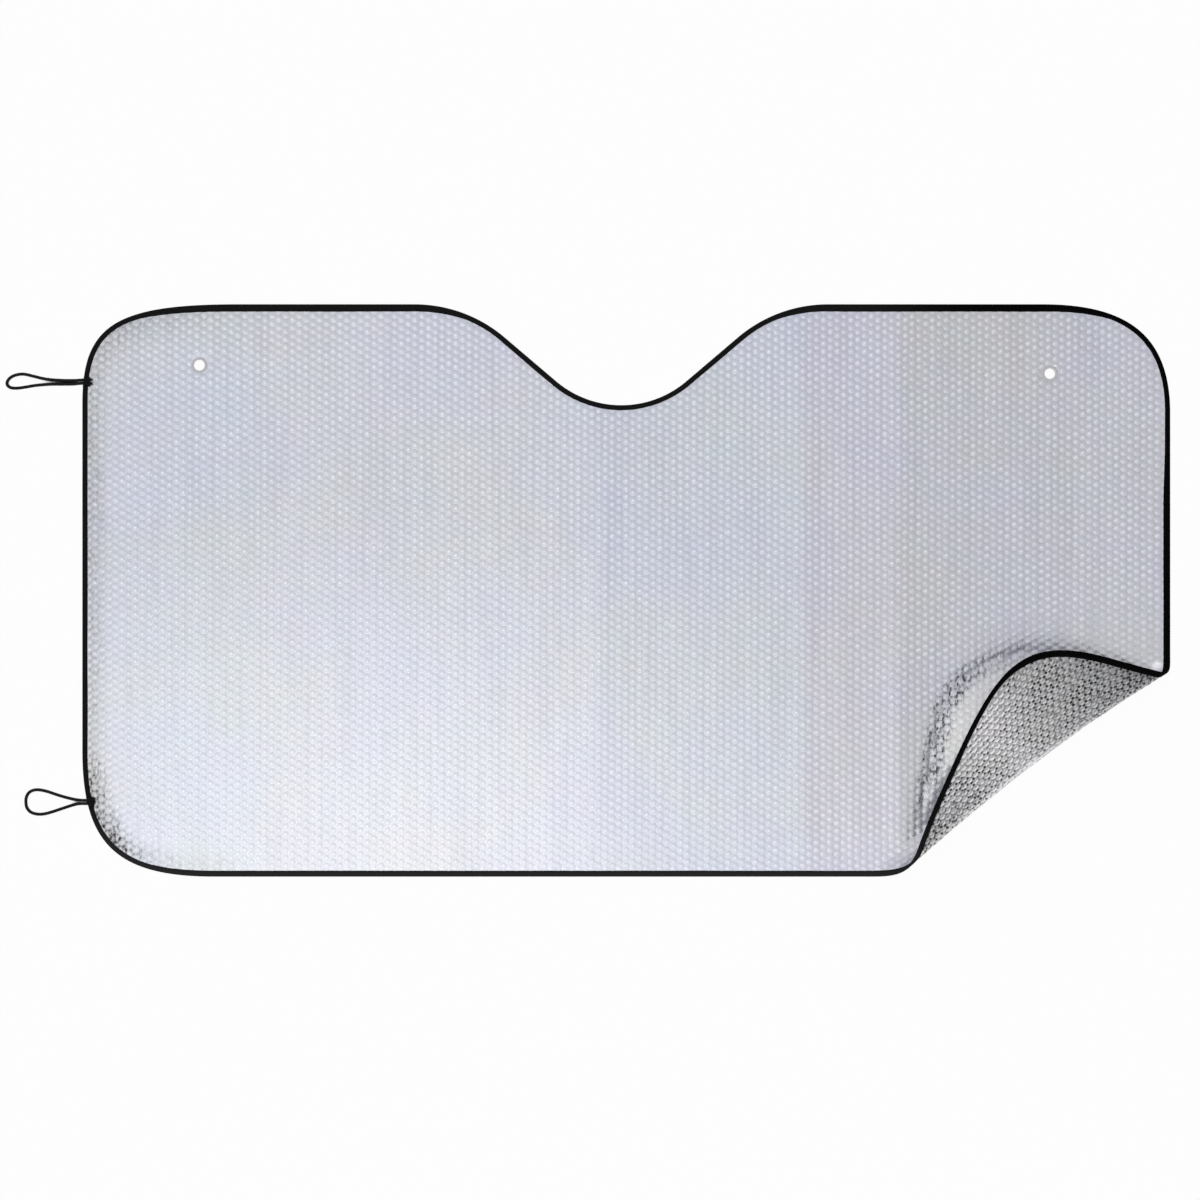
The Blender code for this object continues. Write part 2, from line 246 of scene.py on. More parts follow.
class ShadeRoll(PropertyGroup):
    up_right_edge: FloatProperty(
        name="Up the right edge",
        description="Where the roll starts on the right edge, from the bottom",
        unit="LENGTH",
        default=0.2654,
    )
    along_bottom_edge: FloatProperty(
        name="Along the bottom edge",
        description="Where the roll starts on the bottom edge, from the right",
        unit="LENGTH",
        default=0.3639,
    )
    radius_at_right: FloatProperty(
        name="Radius at the right",
        description="Radius of the roll at the right edge",
        unit="LENGTH",
        default=0.0141,
    )
    radius_at_bottom: FloatProperty(
        name="Radius at the bottom",
        description="Radius of the roll at the bottom edge",
        unit="LENGTH",
        default=0.0233,
    )
    turn: FloatProperty(
        name="Turn",
        description="Angle that the roll turns through",
        subtype="ANGLE",
        default=math.radians(141.6),
    )
    bow: FloatProperty(
        name="Bow",
        description="How far the start of the roll bows into the panel",
        unit="LENGTH",
        default=0.0111,
    )
    flap_bend_at_right: FloatProperty(
        name="Flap bend at the right",
        description="Bend of the flap in radians per metre",
        default=3.8,
    )
    flap_bend_at_bottom: FloatProperty(
        name="Flap bend at the bottom",
        description="Bend of the flap in radians per metre",
        default=-5.5,
    )


class ShadeFoil(PropertyGroup):
    bubble_pitch: FloatProperty(
        name="Bubble pitch",
        description="Distance between neighbouring bubbles",
        unit="LENGTH",
        default=0.0094,
    )
    front_bubble_height: FloatProperty(
        name="Front bubble height",
        description="How far the bubbles stand out on the front",
        unit="LENGTH",
        default=0.0009,
    )
    back_bubble_height: FloatProperty(
        name="Back bubble height",
        description="How far the bubbles stand out on the back",
        unit="LENGTH",
        default=0.0010,
    )
    front_colour: FloatVectorProperty(
        name="Front film",
        description="Colour of the metallised film on the front",
        subtype="COLOR",
        default=(0.692, 0.710, 0.805),
    )
    front_shade_colour: FloatVectorProperty(
        name="Front film, warmer",
        description="Colour of the warmer patches of the front film",
        subtype="COLOR",
        default=(0.706, 0.720, 0.762),
    )
    back_colour: FloatVectorProperty(
        name="Back film",
        description="Colour of the metallised film on the back",
        subtype="COLOR",
        default=(0.800, 0.805, 0.850),
    )
    back_shade_colour: FloatVectorProperty(
        name="Back film, darker",
        description="Colour of the darker patches of the back film",
        subtype="COLOR",
        default=(0.700, 0.705, 0.720),
    )
    # Painted highlight: colour of the painted glints on the tops of some bubbles
    painted_glint_colour: FloatVectorProperty(
        name="Glints",
        description="Colour of the lighter tops of some bubbles",
        subtype="COLOR",
        default=(0.93, 0.95, 1.00),
    )
    rim_colour: FloatVectorProperty(
        name="Pressed rims",
        description="Colour of the pressed film round the cup holes",
        subtype="COLOR",
        default=(0.560, 0.560, 0.580),
    )
    # Colour of the bonded film, also used for painted shade in the valleys and the painted dark dots
    bond_and_painted_shade_colour: FloatVectorProperty(
        name="Bonded film",
        description="Colour of the film where it is bonded between the bubbles",
        subtype="COLOR",
        default=(0.05, 0.05, 0.055),
    )


class ShadeBinding(PropertyGroup):
    reach: FloatProperty(
        name="Reach",
        description="How far the tape reaches in from the edge",
        unit="LENGTH",
        default=0.0064,
    )
    extra_at_top: FloatProperty(
        name="Extra at the top",
        description="How much further the tape reaches in along the straight top",
        unit="LENGTH",
        default=0.0024,
    )
    extra_fade: FloatProperty(
        name="Extra fade",
        description="Drop below the top line over which the extra reach goes",
        unit="LENGTH",
        default=0.0120,
    )
    tightening: FloatProperty(
        name="Tightening",
        description="Share of its reach that the tape loses where the edge bends most",
        default=0.05,
    )
    extra_at_bottom: FloatProperty(
        name="Extra at the bottom",
        description="How much further the tape reaches in along the straight bottom",
        unit="LENGTH",
        default=0.0008,
    )
    extra_at_right: FloatProperty(
        name="Extra at the right",
        description="How much further the tape reaches in on the lower right edge",
        unit="LENGTH",
        default=0.0019,
    )
    inner_radius: FloatProperty(
        name="Inner radius",
        description="Radius of the tape's fold on its inside",
        unit="LENGTH",
        default=0.0011,
    )
    thickness: FloatProperty(name="Thickness", description="Tape thickness", unit="LENGTH", default=0.0005)
    stitch_pitch: FloatProperty(
        name="Stitch pitch",
        description="Length of one stitch with its gap",
        unit="LENGTH",
        default=0.0040,
    )
    stitch_inset: FloatProperty(
        name="Stitch inset",
        description="Seam line from the tape's inner edge",
        unit="LENGTH",
        default=0.0017,
    )
    thread_diameter: FloatProperty(
        name="Thread diameter",
        description="Diameter of the seam thread",
        unit="LENGTH",
        default=0.0004,
    )
    tape_colour: FloatVectorProperty(
        name="Tape",
        description="Colour of the tape",
        subtype="COLOR",
        default=(0.0230, 0.0230, 0.0240),
    )
    thread_colour: FloatVectorProperty(
        name="Thread",
        description="Colour of the thread",
        subtype="COLOR",
        default=(0.005, 0.005, 0.0055),
    )


class ShadeLoops(PropertyGroup):
    cord_diameter: FloatProperty(
        name="Cord diameter",
        description="Diameter of the elastic cord",
        unit="LENGTH",
        default=0.0039,
    )
    leg_spacing: FloatProperty(
        name="Leg spacing",
        description="Distance between the two ends of a loop at the binding",
        unit="LENGTH",
        default=0.0039,
    )
    tack_length: FloatProperty(
        name="Bar tack length",
        description="Length of the bar tack along the cords",
        unit="LENGTH",
        default=0.0060,
    )
    cord_colour: FloatVectorProperty(
        name="Elastic",
        description="Colour of the elastic cord",
        subtype="COLOR",
        default=(0.009, 0.009, 0.0097),
    )


class ShadeStudio(PropertyGroup):
    camera_height: FloatProperty(
        name="Camera height",
        description="Height of the camera above the sheet",
        unit="LENGTH",
        default=5.0,
    )
    view_centre: FloatVectorProperty(
        name="View centre",
        description="Point under the camera",
        size=2,
        subtype="XYZ_LENGTH",
        default=(-0.0314, -0.0114),
    )
    view_width: FloatProperty(
        name="View width",
        description="Width of the square view on the floor",
        unit="LENGTH",
        default=1.4345,
    )
    floor_width: FloatProperty(
        name="Floor width",
        description="Width of the floor",
        unit="LENGTH",
        default=30.0,
    )
    sky_top: FloatVectorProperty(
        name="Light overhead",
        description="Light from straight above",
        subtype="COLOR",
        default=(0.84, 0.84, 0.85),
    )
    sky_side: FloatVectorProperty(
        name="Light at the sides",
        description="Light from the sides",
        subtype="COLOR",
        default=(0.34, 0.34, 0.35),
    )
    softbox_light: FloatProperty(
        name="Softbox",
        description="Brightness of the softbox at the lower left",
        default=0.8,
        min=0,
    )


def smooth_step(value, low, high):
    """0 below low, 1 above high and an even slope between; takes numbers or arrays."""
    share = np.clip((np.asarray(value, float) - low) / (high - low), 0, 1)
    return share * share * (3 - 2 * share)


def mix(first, second, share):
    return first + (second - first) * share


def bell(distance, width):
    """1 at no distance, falling to nearly 0 past two widths."""
    return np.exp(-((distance / width) ** 2))


def arc(centre, radius, start, end):
    """Points on an arc, both ends included; angles in radians."""
    angles = [mix(start, end, i / ARC_STEPS) for i in range(ARC_STEPS + 1)]
    return [centre + radius * Vector((math.cos(a), math.sin(a))) for a in angles]


def corner(side_x, side_y, shape, from_side):
    """A full rounded corner at one end of a side edge, read in the outline's clockwise order."""
    outline = bpy.context.scene.shade_outline
    reach_y, reach_x, fullness = shape
    tip = Vector((side_x * outline.width / 2, side_y * outline.height / 2))
    on_side = tip - Vector((0, side_y * reach_y))
    on_edge = tip - Vector((side_x * reach_x, 0))
    side_handle = mix(on_side, tip, fullness)
    edge_handle = mix(on_edge, tip, fullness)
    if from_side:
        return interpolate_bezier(on_side, side_handle, edge_handle, on_edge, CORNER_STEPS + 1)
    return interpolate_bezier(on_edge, edge_handle, side_handle, on_side, CORNER_STEPS + 1)


def notch():
    """The mirror notch from left to right: shoulder arc, straight flank, bottom arc, and the same back up."""
    outline = bpy.context.scene.shade_outline
    turn = outline.notch_flank_angle
    both_radii = outline.notch_bottom_radius + outline.notch_shoulder_radius
    flank = (outline.notch_depth - both_radii * (1 - math.cos(turn))) / math.sin(turn)
    half_width = both_radii * math.sin(turn) + flank * math.cos(turn)
    up = math.pi / 2
    top = Vector((outline.notch_offset, outline.height / 2))
    right_centre = Vector((half_width, -outline.notch_shoulder_radius))
    left_centre = Vector((-right_centre.x, right_centre.y))
    bottom = Vector((0, outline.notch_bottom_radius - outline.notch_depth))
    points = arc(left_centre, outline.notch_shoulder_radius, up, up - turn)
    points += arc(bottom, outline.notch_bottom_radius, -up - turn, turn - up)
    points += arc(right_centre, outline.notch_shoulder_radius, up + turn, up)
    return [top + point for point in points]


def bound_edge():
    """The bound outline, clockwise, at even steps: its points, their outward directions and its length."""
    outline = bpy.context.scene.shade_outline
    points = corner(-1, 1, outline.top_left_corner, True)
    points += notch()
    points += corner(1, 1, outline.top_right_corner, False)
    points += corner(1, -1, outline.bottom_corner, True)
    points += corner(-1, -1, outline.bottom_corner, False)
    closed = np.array([point[:] for point in [*points, points[0]]])
    steps = np.linalg.norm(np.diff(closed, axis=0), axis=1)
    lengths = np.concatenate([[0.0], np.cumsum(steps)])
    count = round(lengths[-1] / EDGE_STEP)
    wanted = np.arange(count) * lengths[-1] / count
    even = np.column_stack([np.interp(wanted, lengths, closed[:, i]) for i in (0, 1)])
    along = np.roll(even, -1, axis=0) - np.roll(even, 1, axis=0)
    along /= np.linalg.norm(along, axis=1)[:, None]
    outward = np.column_stack([-along[:, 1], along[:, 0]])
    return even, outward, lengths[-1]


def enclosed_area(points):
    x, y = points.T
    return float(abs(np.sum(x * np.roll(y, -1) - y * np.roll(x, -1))) / 2)


def point_tree(points):
    tree = kdtree.KDTree(len(points))
    for i, (x, y) in enumerate(points):
        tree.insert((x, y, 0), i)
    tree.balance()
    return tree


def nearest(tree, places):
    return np.array([tree.find((x, y, 0))[1] for x, y in places])


def nearest_cut(places):
    """For each place: how far in from the nearest cut edge, the way out, how far that edge is covered, and
    how far in from the bound edge."""
    outline = bpy.context.scene.shade_outline
    even, outward, _ = bound_edge()
    found = nearest(point_tree(even), places)
    inset = ((even[found] - places) * outward[found]).sum(axis=1)
    way_out = outward[found].copy()
    covered = tape_reaches(even, outward)[found]
    from_bound = inset.copy()
    for hole in (outline.left_cup_hole, outline.right_cup_hole):
        to_hole = np.array(hole[:]) - places
        distance = np.linalg.norm(to_hole, axis=1)
        from_rim = distance - outline.cup_hole_diameter / 2
        closer = from_rim < inset
        inset[closer] = from_rim[closer]
        way_out[closer] = to_hole[closer] / distance[closer, None]
        covered[closer] = CUP_RIM_WIDTH
    return inset, way_out, covered, from_bound


def tape_reaches(even, outward):
    """How far the tape reaches in at each step of the outline: further along the straight edges, and less
    where the edge bends and the tape is pulled tight."""
    binding = bpy.context.scene.shade_binding
    x, y = even.T
    half_height = bpy.context.scene.shade_outline.height / 2
    reach = binding.reach + binding.extra_at_top * np.clip(1 - (half_height - y) / binding.extra_fade, 0, 1)
    reach += binding.extra_at_bottom * np.clip(1 - (half_height + y) / binding.extra_fade, 0, 1)
    low_right = smooth_step(x, *RIGHT_EDGE_FROM) * (1 - smooth_step(y, *RIGHT_EXTRA_UP_TO))
    reach += binding.extra_at_right * low_right
    bend = np.linalg.norm(np.roll(outward, -1, axis=0) - outward, axis=1) / EDGE_STEP
    bend = sum(np.roll(bend, step) for step in range(-BEND_STEPS, BEND_STEPS + 1)) / (2 * BEND_STEPS + 1)
    return reach * (1 - binding.tightening * np.clip(bend / FULL_BEND, 0, 1))


def roll_place(xy):
    """Share of the way along the roll, and distance past its start, of places on the flat pattern."""
    outline = bpy.context.scene.shade_outline
    roll = bpy.context.scene.shade_roll
    at_right = np.array([outline.width / 2, roll.up_right_edge - outline.height / 2])
    at_bottom = np.array([outline.width / 2 - roll.along_bottom_edge, -outline.height / 2])
    length = np.linalg.norm(at_bottom - at_right)
    along = (at_bottom - at_right) / length
    out = np.array([-along[1], along[0]])
    share = (xy - at_right) @ along / length
    past = (xy - at_right) @ out + 4 * roll.bow * share * (1 - share)
    return share, past, out


def lay_out(xy, rise):
    """Places of the flat pattern on the shade as it lies, with its corner turned over."""
    roll = bpy.context.scene.shade_roll
    share, past, out_way = roll_place(xy)
    radius = mix(roll.radius_at_right, roll.radius_at_bottom, share)
    angle = np.clip(past / radius, 0, roll.turn)
    beyond = past - radius * angle
    bend = mix(roll.flap_bend_at_right, roll.flap_bend_at_bottom, share) * beyond
    out = radius * np.sin(angle) + beyond * np.cos(angle + bend / 2) - rise * np.sin(angle + bend)
    up = radius - radius * np.cos(angle) + beyond * np.sin(angle + bend / 2) + rise * np.cos(angle + bend)
    turned = past > 0
    placed = np.array(xy, float) + out_way * np.where(turned, out - past, 0)[:, None]
    return np.column_stack([placed, SHEET_MIDDLE + np.where(turned, up, rise)])


# Gentle shape of the sheet as it lies
FREE_OF_EDGE = (4 * MM, 60 * MM)
LEFT_PART = (0.42, 0.62)
WAVE_HEIGHT = 1.3 * MM
WAVES_PER_METRE = 4.0
FOLD_MARKS = (-0.445, -0.030, 0.211, 0.326, 0.552)
FOLD_MARK_HEIGHT = 0.7 * MM
FOLD_MARK_WIDTH = 14 * MM
LEFT_BELLY = 2.6 * MM
LEFT_BELLY_RISE = (12 * MM, 44 * MM)
CREASE_TILT = 0.17
CREASE_REACH = 70 * MM
CREASE_WIDTH = 3.5 * MM
CREASE_DEPTH = 1.2 * MM
CREASE_END = (4 * MM, 45 * MM)
CREASE_FADE = (0.450, 0.500)
CREASE_CLEAR_OF_EDGE = (8 * MM, 40 * MM)

# Painted light and shade on the front film: painted dark dots beside the crease, along the left edge and
# at its corners, painted shade along the left edge, a painted light band by the crease, a painted highlight
CREASE_MARKS = (-6 * MM, 9 * MM)
CREASE_MARKS_FADE = 7 * MM
CREASE_PAINTED_SHADE = 1.60
CREASE_THIN_FROM = (0.385, 0.455)
CREASE_THIN_SHARE = 0.45
CRUSHED_TAUT = 0.9
BAND_RISE = (6 * MM, 18 * MM)
# Painted light in the band between the crease and the turned corner
BAND_PAINTED_LIGHT = (0.20, 0.20, 0.12)
LEFT_PAINTED_SHADE = 0.55
LOW_CORNER_PAINTED_SHADE = 2.00
HIGH_CORNER_PAINTED_SHADE = 0.55
LOW_CORNER = ((-0.650, -0.280), (0.035, 0.100))
HIGH_CORNER = ((-0.650, 0.342), (0.080, 0.170))
EDGE_PAINTED_SHADE_FADE = (5 * MM, 40 * MM)
# Painted shade along the left edge, deepest at its lower corner
EDGE_PAINTED_DARKENING = (0.118, 0.122, 0.140)
EDGE_PAINTED_DARKENING_FADE = (5 * MM, 34 * MM)
CORNER_PAINTED_DARKENING = 2.6
# Painted highlight where the roll starts at the right edge
PAINTED_GLEAM_PLACE = (0.634, -0.0900)
PAINTED_GLEAM_REACH = (6 * MM, 4 * MM)
PAINTED_GLEAM = 0.75


def crease_side(xy):
    """Distance of places from the crease, positive on the side of the turned corner."""
    route = smooth_route(CREASE_ROUTE, CREASE_STEP)
    line = np.array([point[:2] for point in route])
    along = np.gradient(line, axis=0)
    along /= np.linalg.norm(along, axis=1)[:, None]
    toward_flap = np.column_stack([-along[:, 1], along[:, 0]])
    found = nearest(point_tree(line), xy)
    away = xy - line[found]
    side = np.sign((away * toward_flap[found]).sum(axis=1))
    return side * np.linalg.norm(away, axis=1)


def before_roll(xy, inset):
    """1 on the part of the sheet that the roll lifts against the crease, and 0 elsewhere."""
    _, past, _ = roll_place(xy)
    share = smooth_step(-past, *CREASE_END) * (1 - smooth_step(xy[:, 0], *CREASE_FADE))
    return share * smooth_step(inset, *CREASE_CLEAR_OF_EDGE)


def sheet_lift(xy, inset):
    """How far the sheet stands off its flat lie at places of the pattern."""
    free = smooth_step(inset, *FREE_OF_EDGE)
    waves = np.array([noise.noise((x * WAVES_PER_METRE, y * WAVES_PER_METRE, 0.0)) for x, y in xy])
    lift = WAVE_HEIGHT * (0.5 + 0.5 * waves) * free
    for mark in FOLD_MARKS:
        lift += FOLD_MARK_HEIGHT * bell(xy[:, 0] - mark, FOLD_MARK_WIDTH) * free
    lift += LEFT_BELLY * smooth_step(-xy[:, 0], *LEFT_PART) * smooth_step(inset, *LEFT_BELLY_RISE)
    side = crease_side(xy)
    lifted_part = before_roll(xy, inset)
    lift += CREASE_TILT * np.clip(side, 0, CREASE_REACH) * lifted_part
    crushed = bell(side, CREASE_WIDTH) * lifted_part
    return lift - np.minimum(CREASE_DEPTH * crushed, lift)


def front_film_state(xy, inset):
    """For places of the front film: how far painted shade darkens its bond and dots, how flat it is pulled,
    and its painted light and shade.
    """
    side = crease_side(xy)
    lifted_part = before_roll(xy, inset)
    past_mark = np.maximum(np.maximum(CREASE_MARKS[0] - side, side - CREASE_MARKS[1]), 0)
    crease_marks = CREASE_PAINTED_SHADE * bell(past_mark, CREASE_MARKS_FADE) * lifted_part
    crease_marks *= mix(1, CREASE_THIN_SHARE, smooth_step(xy[:, 0], *CREASE_THIN_FROM))
    crushed = bell(side, CREASE_WIDTH) * lifted_part
    band = smooth_step(side, *BAND_RISE) * lifted_part
    at_left = smooth_step(-xy[:, 0], *LEFT_PART)
    at_low, at_high = (
        1 - smooth_step(np.linalg.norm(xy - centre, axis=1), *fade)
        for centre, fade in (LOW_CORNER, HIGH_CORNER)
    )
    painted_shade = mix(mix(LEFT_PAINTED_SHADE, HIGH_CORNER_PAINTED_SHADE, at_high), LOW_CORNER_PAINTED_SHADE, at_low)
    painted_shade = np.maximum(painted_shade * at_left * (1 - smooth_step(inset, *EDGE_PAINTED_SHADE_FADE)), crease_marks)
    painted_darkening = at_left * (1 - smooth_step(inset, *EDGE_PAINTED_DARKENING_FADE)) * mix(1.0, CORNER_PAINTED_DARKENING, at_low)
    painted_gleam = PAINTED_GLEAM * np.exp(-np.sum(((xy - PAINTED_GLEAM_PLACE) / PAINTED_GLEAM_REACH) ** 4, axis=1))
    painted_shading = 1 + np.outer(band, BAND_PAINTED_LIGHT) - np.outer(painted_darkening, EDGE_PAINTED_DARKENING) + painted_gleam[:, None]
    return painted_shade, np.maximum(band, CRUSHED_TAUT * crushed), painted_shading


def back_film_state(xy):
    """The same for places of the back film, of which only the turned corner shows from the front: painted
    dark dots and painted light and shade along the flap.
    """
    share, past, _ = roll_place(xy)
    on_flap = smooth_step(past, *FLAP_START)
    painted_shade = on_flap * np.interp(share, FLAP_SHARES, FLAP_PAINTED_SHADES)
    painted_shading = mix(1, np.interp(share, FLAP_SHARES, FLAP_PAINTED_SHADING), on_flap)
    return painted_shade, np.zeros(len(xy)), np.outer(painted_shading, (1, 1, 1))


def smooth_route(route, spacing):
    """Evenly spaced points on one smooth curve through a route."""
    points = [Vector(point) for point in route]
    fine = [points[0]]
    for i in range(len(points) - 1):
        before, start, end = points[max(i - 1, 0)], points[i], points[i + 1]
        after = points[min(i + 2, len(points) - 1)]
        span = (end - start).length
        leave = start + (end - before).normalized() * span / 3
        arrive = end - (after - start).normalized() * span / 3
        fine += interpolate_bezier(start, leave, arrive, end, ROUTE_STEPS)[1:]
    fine = np.array([point[:] for point in fine])
    lengths = np.concatenate([[0.0], np.cumsum(np.linalg.norm(np.diff(fine, axis=0), axis=1))])
    wanted = np.linspace(0, lengths[-1], round(lengths[-1] / spacing) + 1)
    return np.column_stack([np.interp(wanted, lengths, fine[:, i]) for i in range(3)])


def vertex_places(mesh):
    places = np.empty(len(mesh.vertices) * 3, np.float32)
    mesh.vertices.foreach_get("co", places)
    return places.reshape(-1, 3).astype(float)


def set_places(mesh, places):
    mesh.vertices.foreach_set("co", np.asarray(places, np.float32).ravel())
    mesh.update()


def set_point_values(mesh, name, kind, key, values):
    made = mesh.attributes.new(name, kind, "POINT")
    made.data.foreach_set(key, values.astype(np.float32).ravel())


def mesh_from(bm, name):
    mesh = bpy.data.meshes.new(name)
    bm.to_mesh(mesh)
    bm.free()
    return mesh


def finished(name, mesh, finish):
    """A smooth-shaded piece of the shade, riding on its body."""
    mesh.name = name
    mesh.shade_smooth()
    mesh.materials.clear()
    mesh.materials.append(finish)
    made = bpy.data.objects.new(name, mesh)
    bpy.context.scene.collection.objects.link(made)
    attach(made, BODY)
    return made


def unit_grid(name, along_steps, across_steps):
    """A flat grid one unit wide and long with a UV map, ready to be bent; returns its mesh and its shares."""
    bm = bmesh.new()
    bm.loops.layers.uv.new("flat")
    bmesh.ops.create_grid(bm, x_segments=along_steps, y_segments=across_steps, size=0.5, calc_uvs=True)
    mesh = mesh_from(bm, name)
    shares = vertex_places(mesh)[:, :2] + 0.5
    return mesh, shares[:, 0], shares[:, 1]


def close_seams(mesh, distance=SEAM_WELD):
    """Join the grid's edges where they now meet, and close what is left open at its ends."""
    bm = bmesh.new()
    bm.from_mesh(mesh)
    bmesh.ops.remove_doubles(bm, verts=bm.verts, dist=distance)
    open_edges = [edge for edge in bm.edges if edge.is_boundary]
    if open_edges:
        bmesh.ops.holes_fill(bm, edges=open_edges)
    bmesh.ops.recalc_face_normals(bm, faces=bm.faces)
    bm.to_mesh(mesh)
    bm.free()


def connect(tree, node, inputs):
    """Give each input its value, or link it to its socket."""
    for key, value in inputs.items():
        if isinstance(value, bpy.types.NodeSocket):
            tree.links.new(value, node.inputs[key])
        else:
            node.inputs[key].default_value = value


def add(tree, kind, inputs=None, **settings):
    """A shader node with its settings and its inputs."""
    made = tree.nodes.new(kind)
    for name, value in settings.items():
        setattr(made, name, value)
    connect(tree, made, inputs or {})
    return made


def bumped(tree, shader, height, strength, distance):
    """Give a shader small relief from a height."""
    bump = add(tree, "ShaderNodeBump", {"Height": height, "Strength": strength, "Distance": distance})
    tree.links.new(bump.outputs[0], shader.inputs["Normal"])


def maths(tree, operation, first, second=0.0, third=0.0):
    made = add(tree, "ShaderNodeMath", {0: first, 1: second, 2: third}, operation=operation)
    return made.outputs[0]


def times(tree, first, *others):
    for value in others:
        first = maths(tree, "MULTIPLY", first, value)
    return first


def vectors(tree, operation, first, second=(0.0, 0.0, 0.0)):
    """Vector maths: gives a number for a length, a distance or a dot product, and a vector otherwise."""
    made = add(tree, "ShaderNodeVectorMath", {0: first, 1: second}, operation=operation)
    return made.outputs["Value" if operation in ("LENGTH", "DISTANCE", "DOT_PRODUCT") else "Vector"]


def object_place(tree):
    return add(tree, "ShaderNodeTexCoord").outputs["Object"]


def flat_place(tree):
    """Place on the flat pattern: bubble pitches along the sheet, or metres along and round the tape."""
    return add(tree, "ShaderNodeUVMap", uv_map="flat").outputs[0]


def ramp(tree, value, low, high, to_low=0.0, to_high=1.0):
    """A smooth step of a value between two levels."""
    made = add(
        tree,
        "ShaderNodeMapRange",
        {"Value": value, "From Min": low, "From Max": high, "To Min": to_low, "To Max": to_high},
        interpolation_type="SMOOTHSTEP",
    )
    return made.outputs[0]


def mix_colour(tree, share, first, second):
    made = add(tree, "ShaderNodeMix", data_type="RGBA")
    connect(tree, made, {0: share, 6: first, 7: second})
    return made.outputs[2]


def new_material(name):
    """A material with one shader, its node tree and that shader."""
    made = bpy.data.materials.new(name)
    made.use_nodes = True
    return made, made.node_tree, made.node_tree.nodes["Principled BSDF"]


def opaque(colour):
    return (*colour, 1.0)


# Finish of the films, with their painted shade and light; a pair of levels is where a noise starts to count
# and where it counts in full
BOND_RADIUS = 5.2 * MM
DOME_TOP_RADIUS = 3.01 * MM
CRINKLE_PER_METRE = 420.0
CRINKLE_LEVELS = (0.35, 0.65)
CRINKLE_IN_BOND = (0.45, 1.30)
CRINKLE_IN_GLOSS = 0.16
CRINKLE_IN_BUMP = 0.45
PATCHES_PER_METRE = 5.0
PATCH_LEVELS = (0.35, 0.65)
DOT_PATCHES_PER_METRE = 28.0
DOT_PATCH_LEVELS = (0.38, 0.62)
DOT_PATCH_RANGE = (0.40, 1.10)
# Painted dark dots beside each dome, where three domes meet
DOT_RADIUS = 2.8 * MM
DOT_CORE = 1.12 * MM
DOT_NOISE_PER_METRE = 120.0
DOT_NOISE_LEVELS = (0.36, 0.52)
WEAKEST_DOT = 0.45
SECOND_DOT_RADIUS = 2.52 * MM
SECOND_DOT_CORE = 0.98 * MM
SECOND_DOT_NOISE_PER_METRE = 156.0
SECOND_DOT_NOISE_LEVELS = (0.40, 0.60)
BOND_PAINTED_SHADE = 0.26
GRAINS_PER_METRE = (330.0, 120.0, 120.0)
GRAIN_LEVELS = (0.48, 0.72)
GRAIN_IN_PAINTED_SHADE = 0.50
STREAKS_ON_PATTERN = (1.9, 0.045, 0.0)
STREAK_LEVELS = (0.30, 0.70)
STREAK = 0.035
# Painted glints: a painted highlight on the tops of some domes
PAINTED_GLINT_RADIUS = 2.6 * MM
PAINTED_GLINT_CORE = 0.78 * MM
PAINTED_GLINTS_PER_METRE = 95.0
PAINTED_GLINT_LEVELS = (0.42, 0.62)
FILM_BUMP = 0.5 * MM
FILM_BUMP_STRENGTH = 0.3
# Painted sheen toward the lower left
PAINTED_SHEEN_STRETCH = (0.62, 1.0, 1.0)
PAINTED_SHEEN_CENTRE = (-0.20, -0.36, 0.0)
PAINTED_SHEEN_REACH = 0.54
PAINTED_SHEEN = (1.37, 1.36, 1.31)
HUES_PER_METRE = 22.0
HUE_SHARE = 0.035
# Painted shade of the facets between the storage folds, from left to right
PAINTED_FOLD_SHADES = (
    (-0.640, (0.97, 0.97, 0.96)),
    (-0.600, (0.98, 0.99, 1.00)),
    (-0.445, (0.98, 1.00, 1.00)),
    (-0.435, (1.00, 1.00, 1.00)),
    (-0.050, (1.00, 1.00, 1.00)),
    (-0.020, (0.95, 0.96, 0.98)),
    (0.205, (0.95, 0.97, 0.97)),
    (0.217, (0.93, 0.91, 0.93)),
    (0.316, (0.93, 0.91, 0.93)),
    (0.336, (0.88, 0.87, 0.85)),
    (0.545, (0.88, 0.87, 0.86)),
    (0.560, (0.91, 0.90, 0.90)),
)


def lattice_distance(tree, shift=0.0):
    """Distance in metres from the nearest bubble's middle, or from a point beside it, on the pattern."""
    pitch = bpy.context.scene.shade_foil.bubble_pitch
    pattern = flat_place(tree)
    nearest_two = []
    for half in (0.5, 0.0):
        moved = vectors(tree, "ADD", pattern, (half + shift, half, 0))
        centred = vectors(tree, "SUBTRACT", vectors(tree, "FRACTION", moved), (0.5, 0.5, 0))
        sized = vectors(tree, "MULTIPLY", centred, (math.sqrt(3) * pitch, pitch, 0))
        nearest_two.append(vectors(tree, "LENGTH", sized))
    return maths(tree, "MINIMUM", *nearest_two)


def noise_level(tree, place, scale, detail=2.0):
    return add(tree, "ShaderNodeTexNoise", {"Vector": place, "Scale": scale, "Detail": detail}).outputs[0]


def noise_between(tree, place, scale, levels, span=(0.0, 1.0), detail=2.0):
    """Noise that goes over its span between two of its levels."""
    return ramp(tree, noise_level(tree, place, scale, detail), *levels, *span)


def multiplied(tree, first, second):
    made = add(tree, "ShaderNodeMix", {0: 1.0, 6: first, 7: second}, data_type="RGBA", blend_type="MULTIPLY")
    return made.outputs[2]


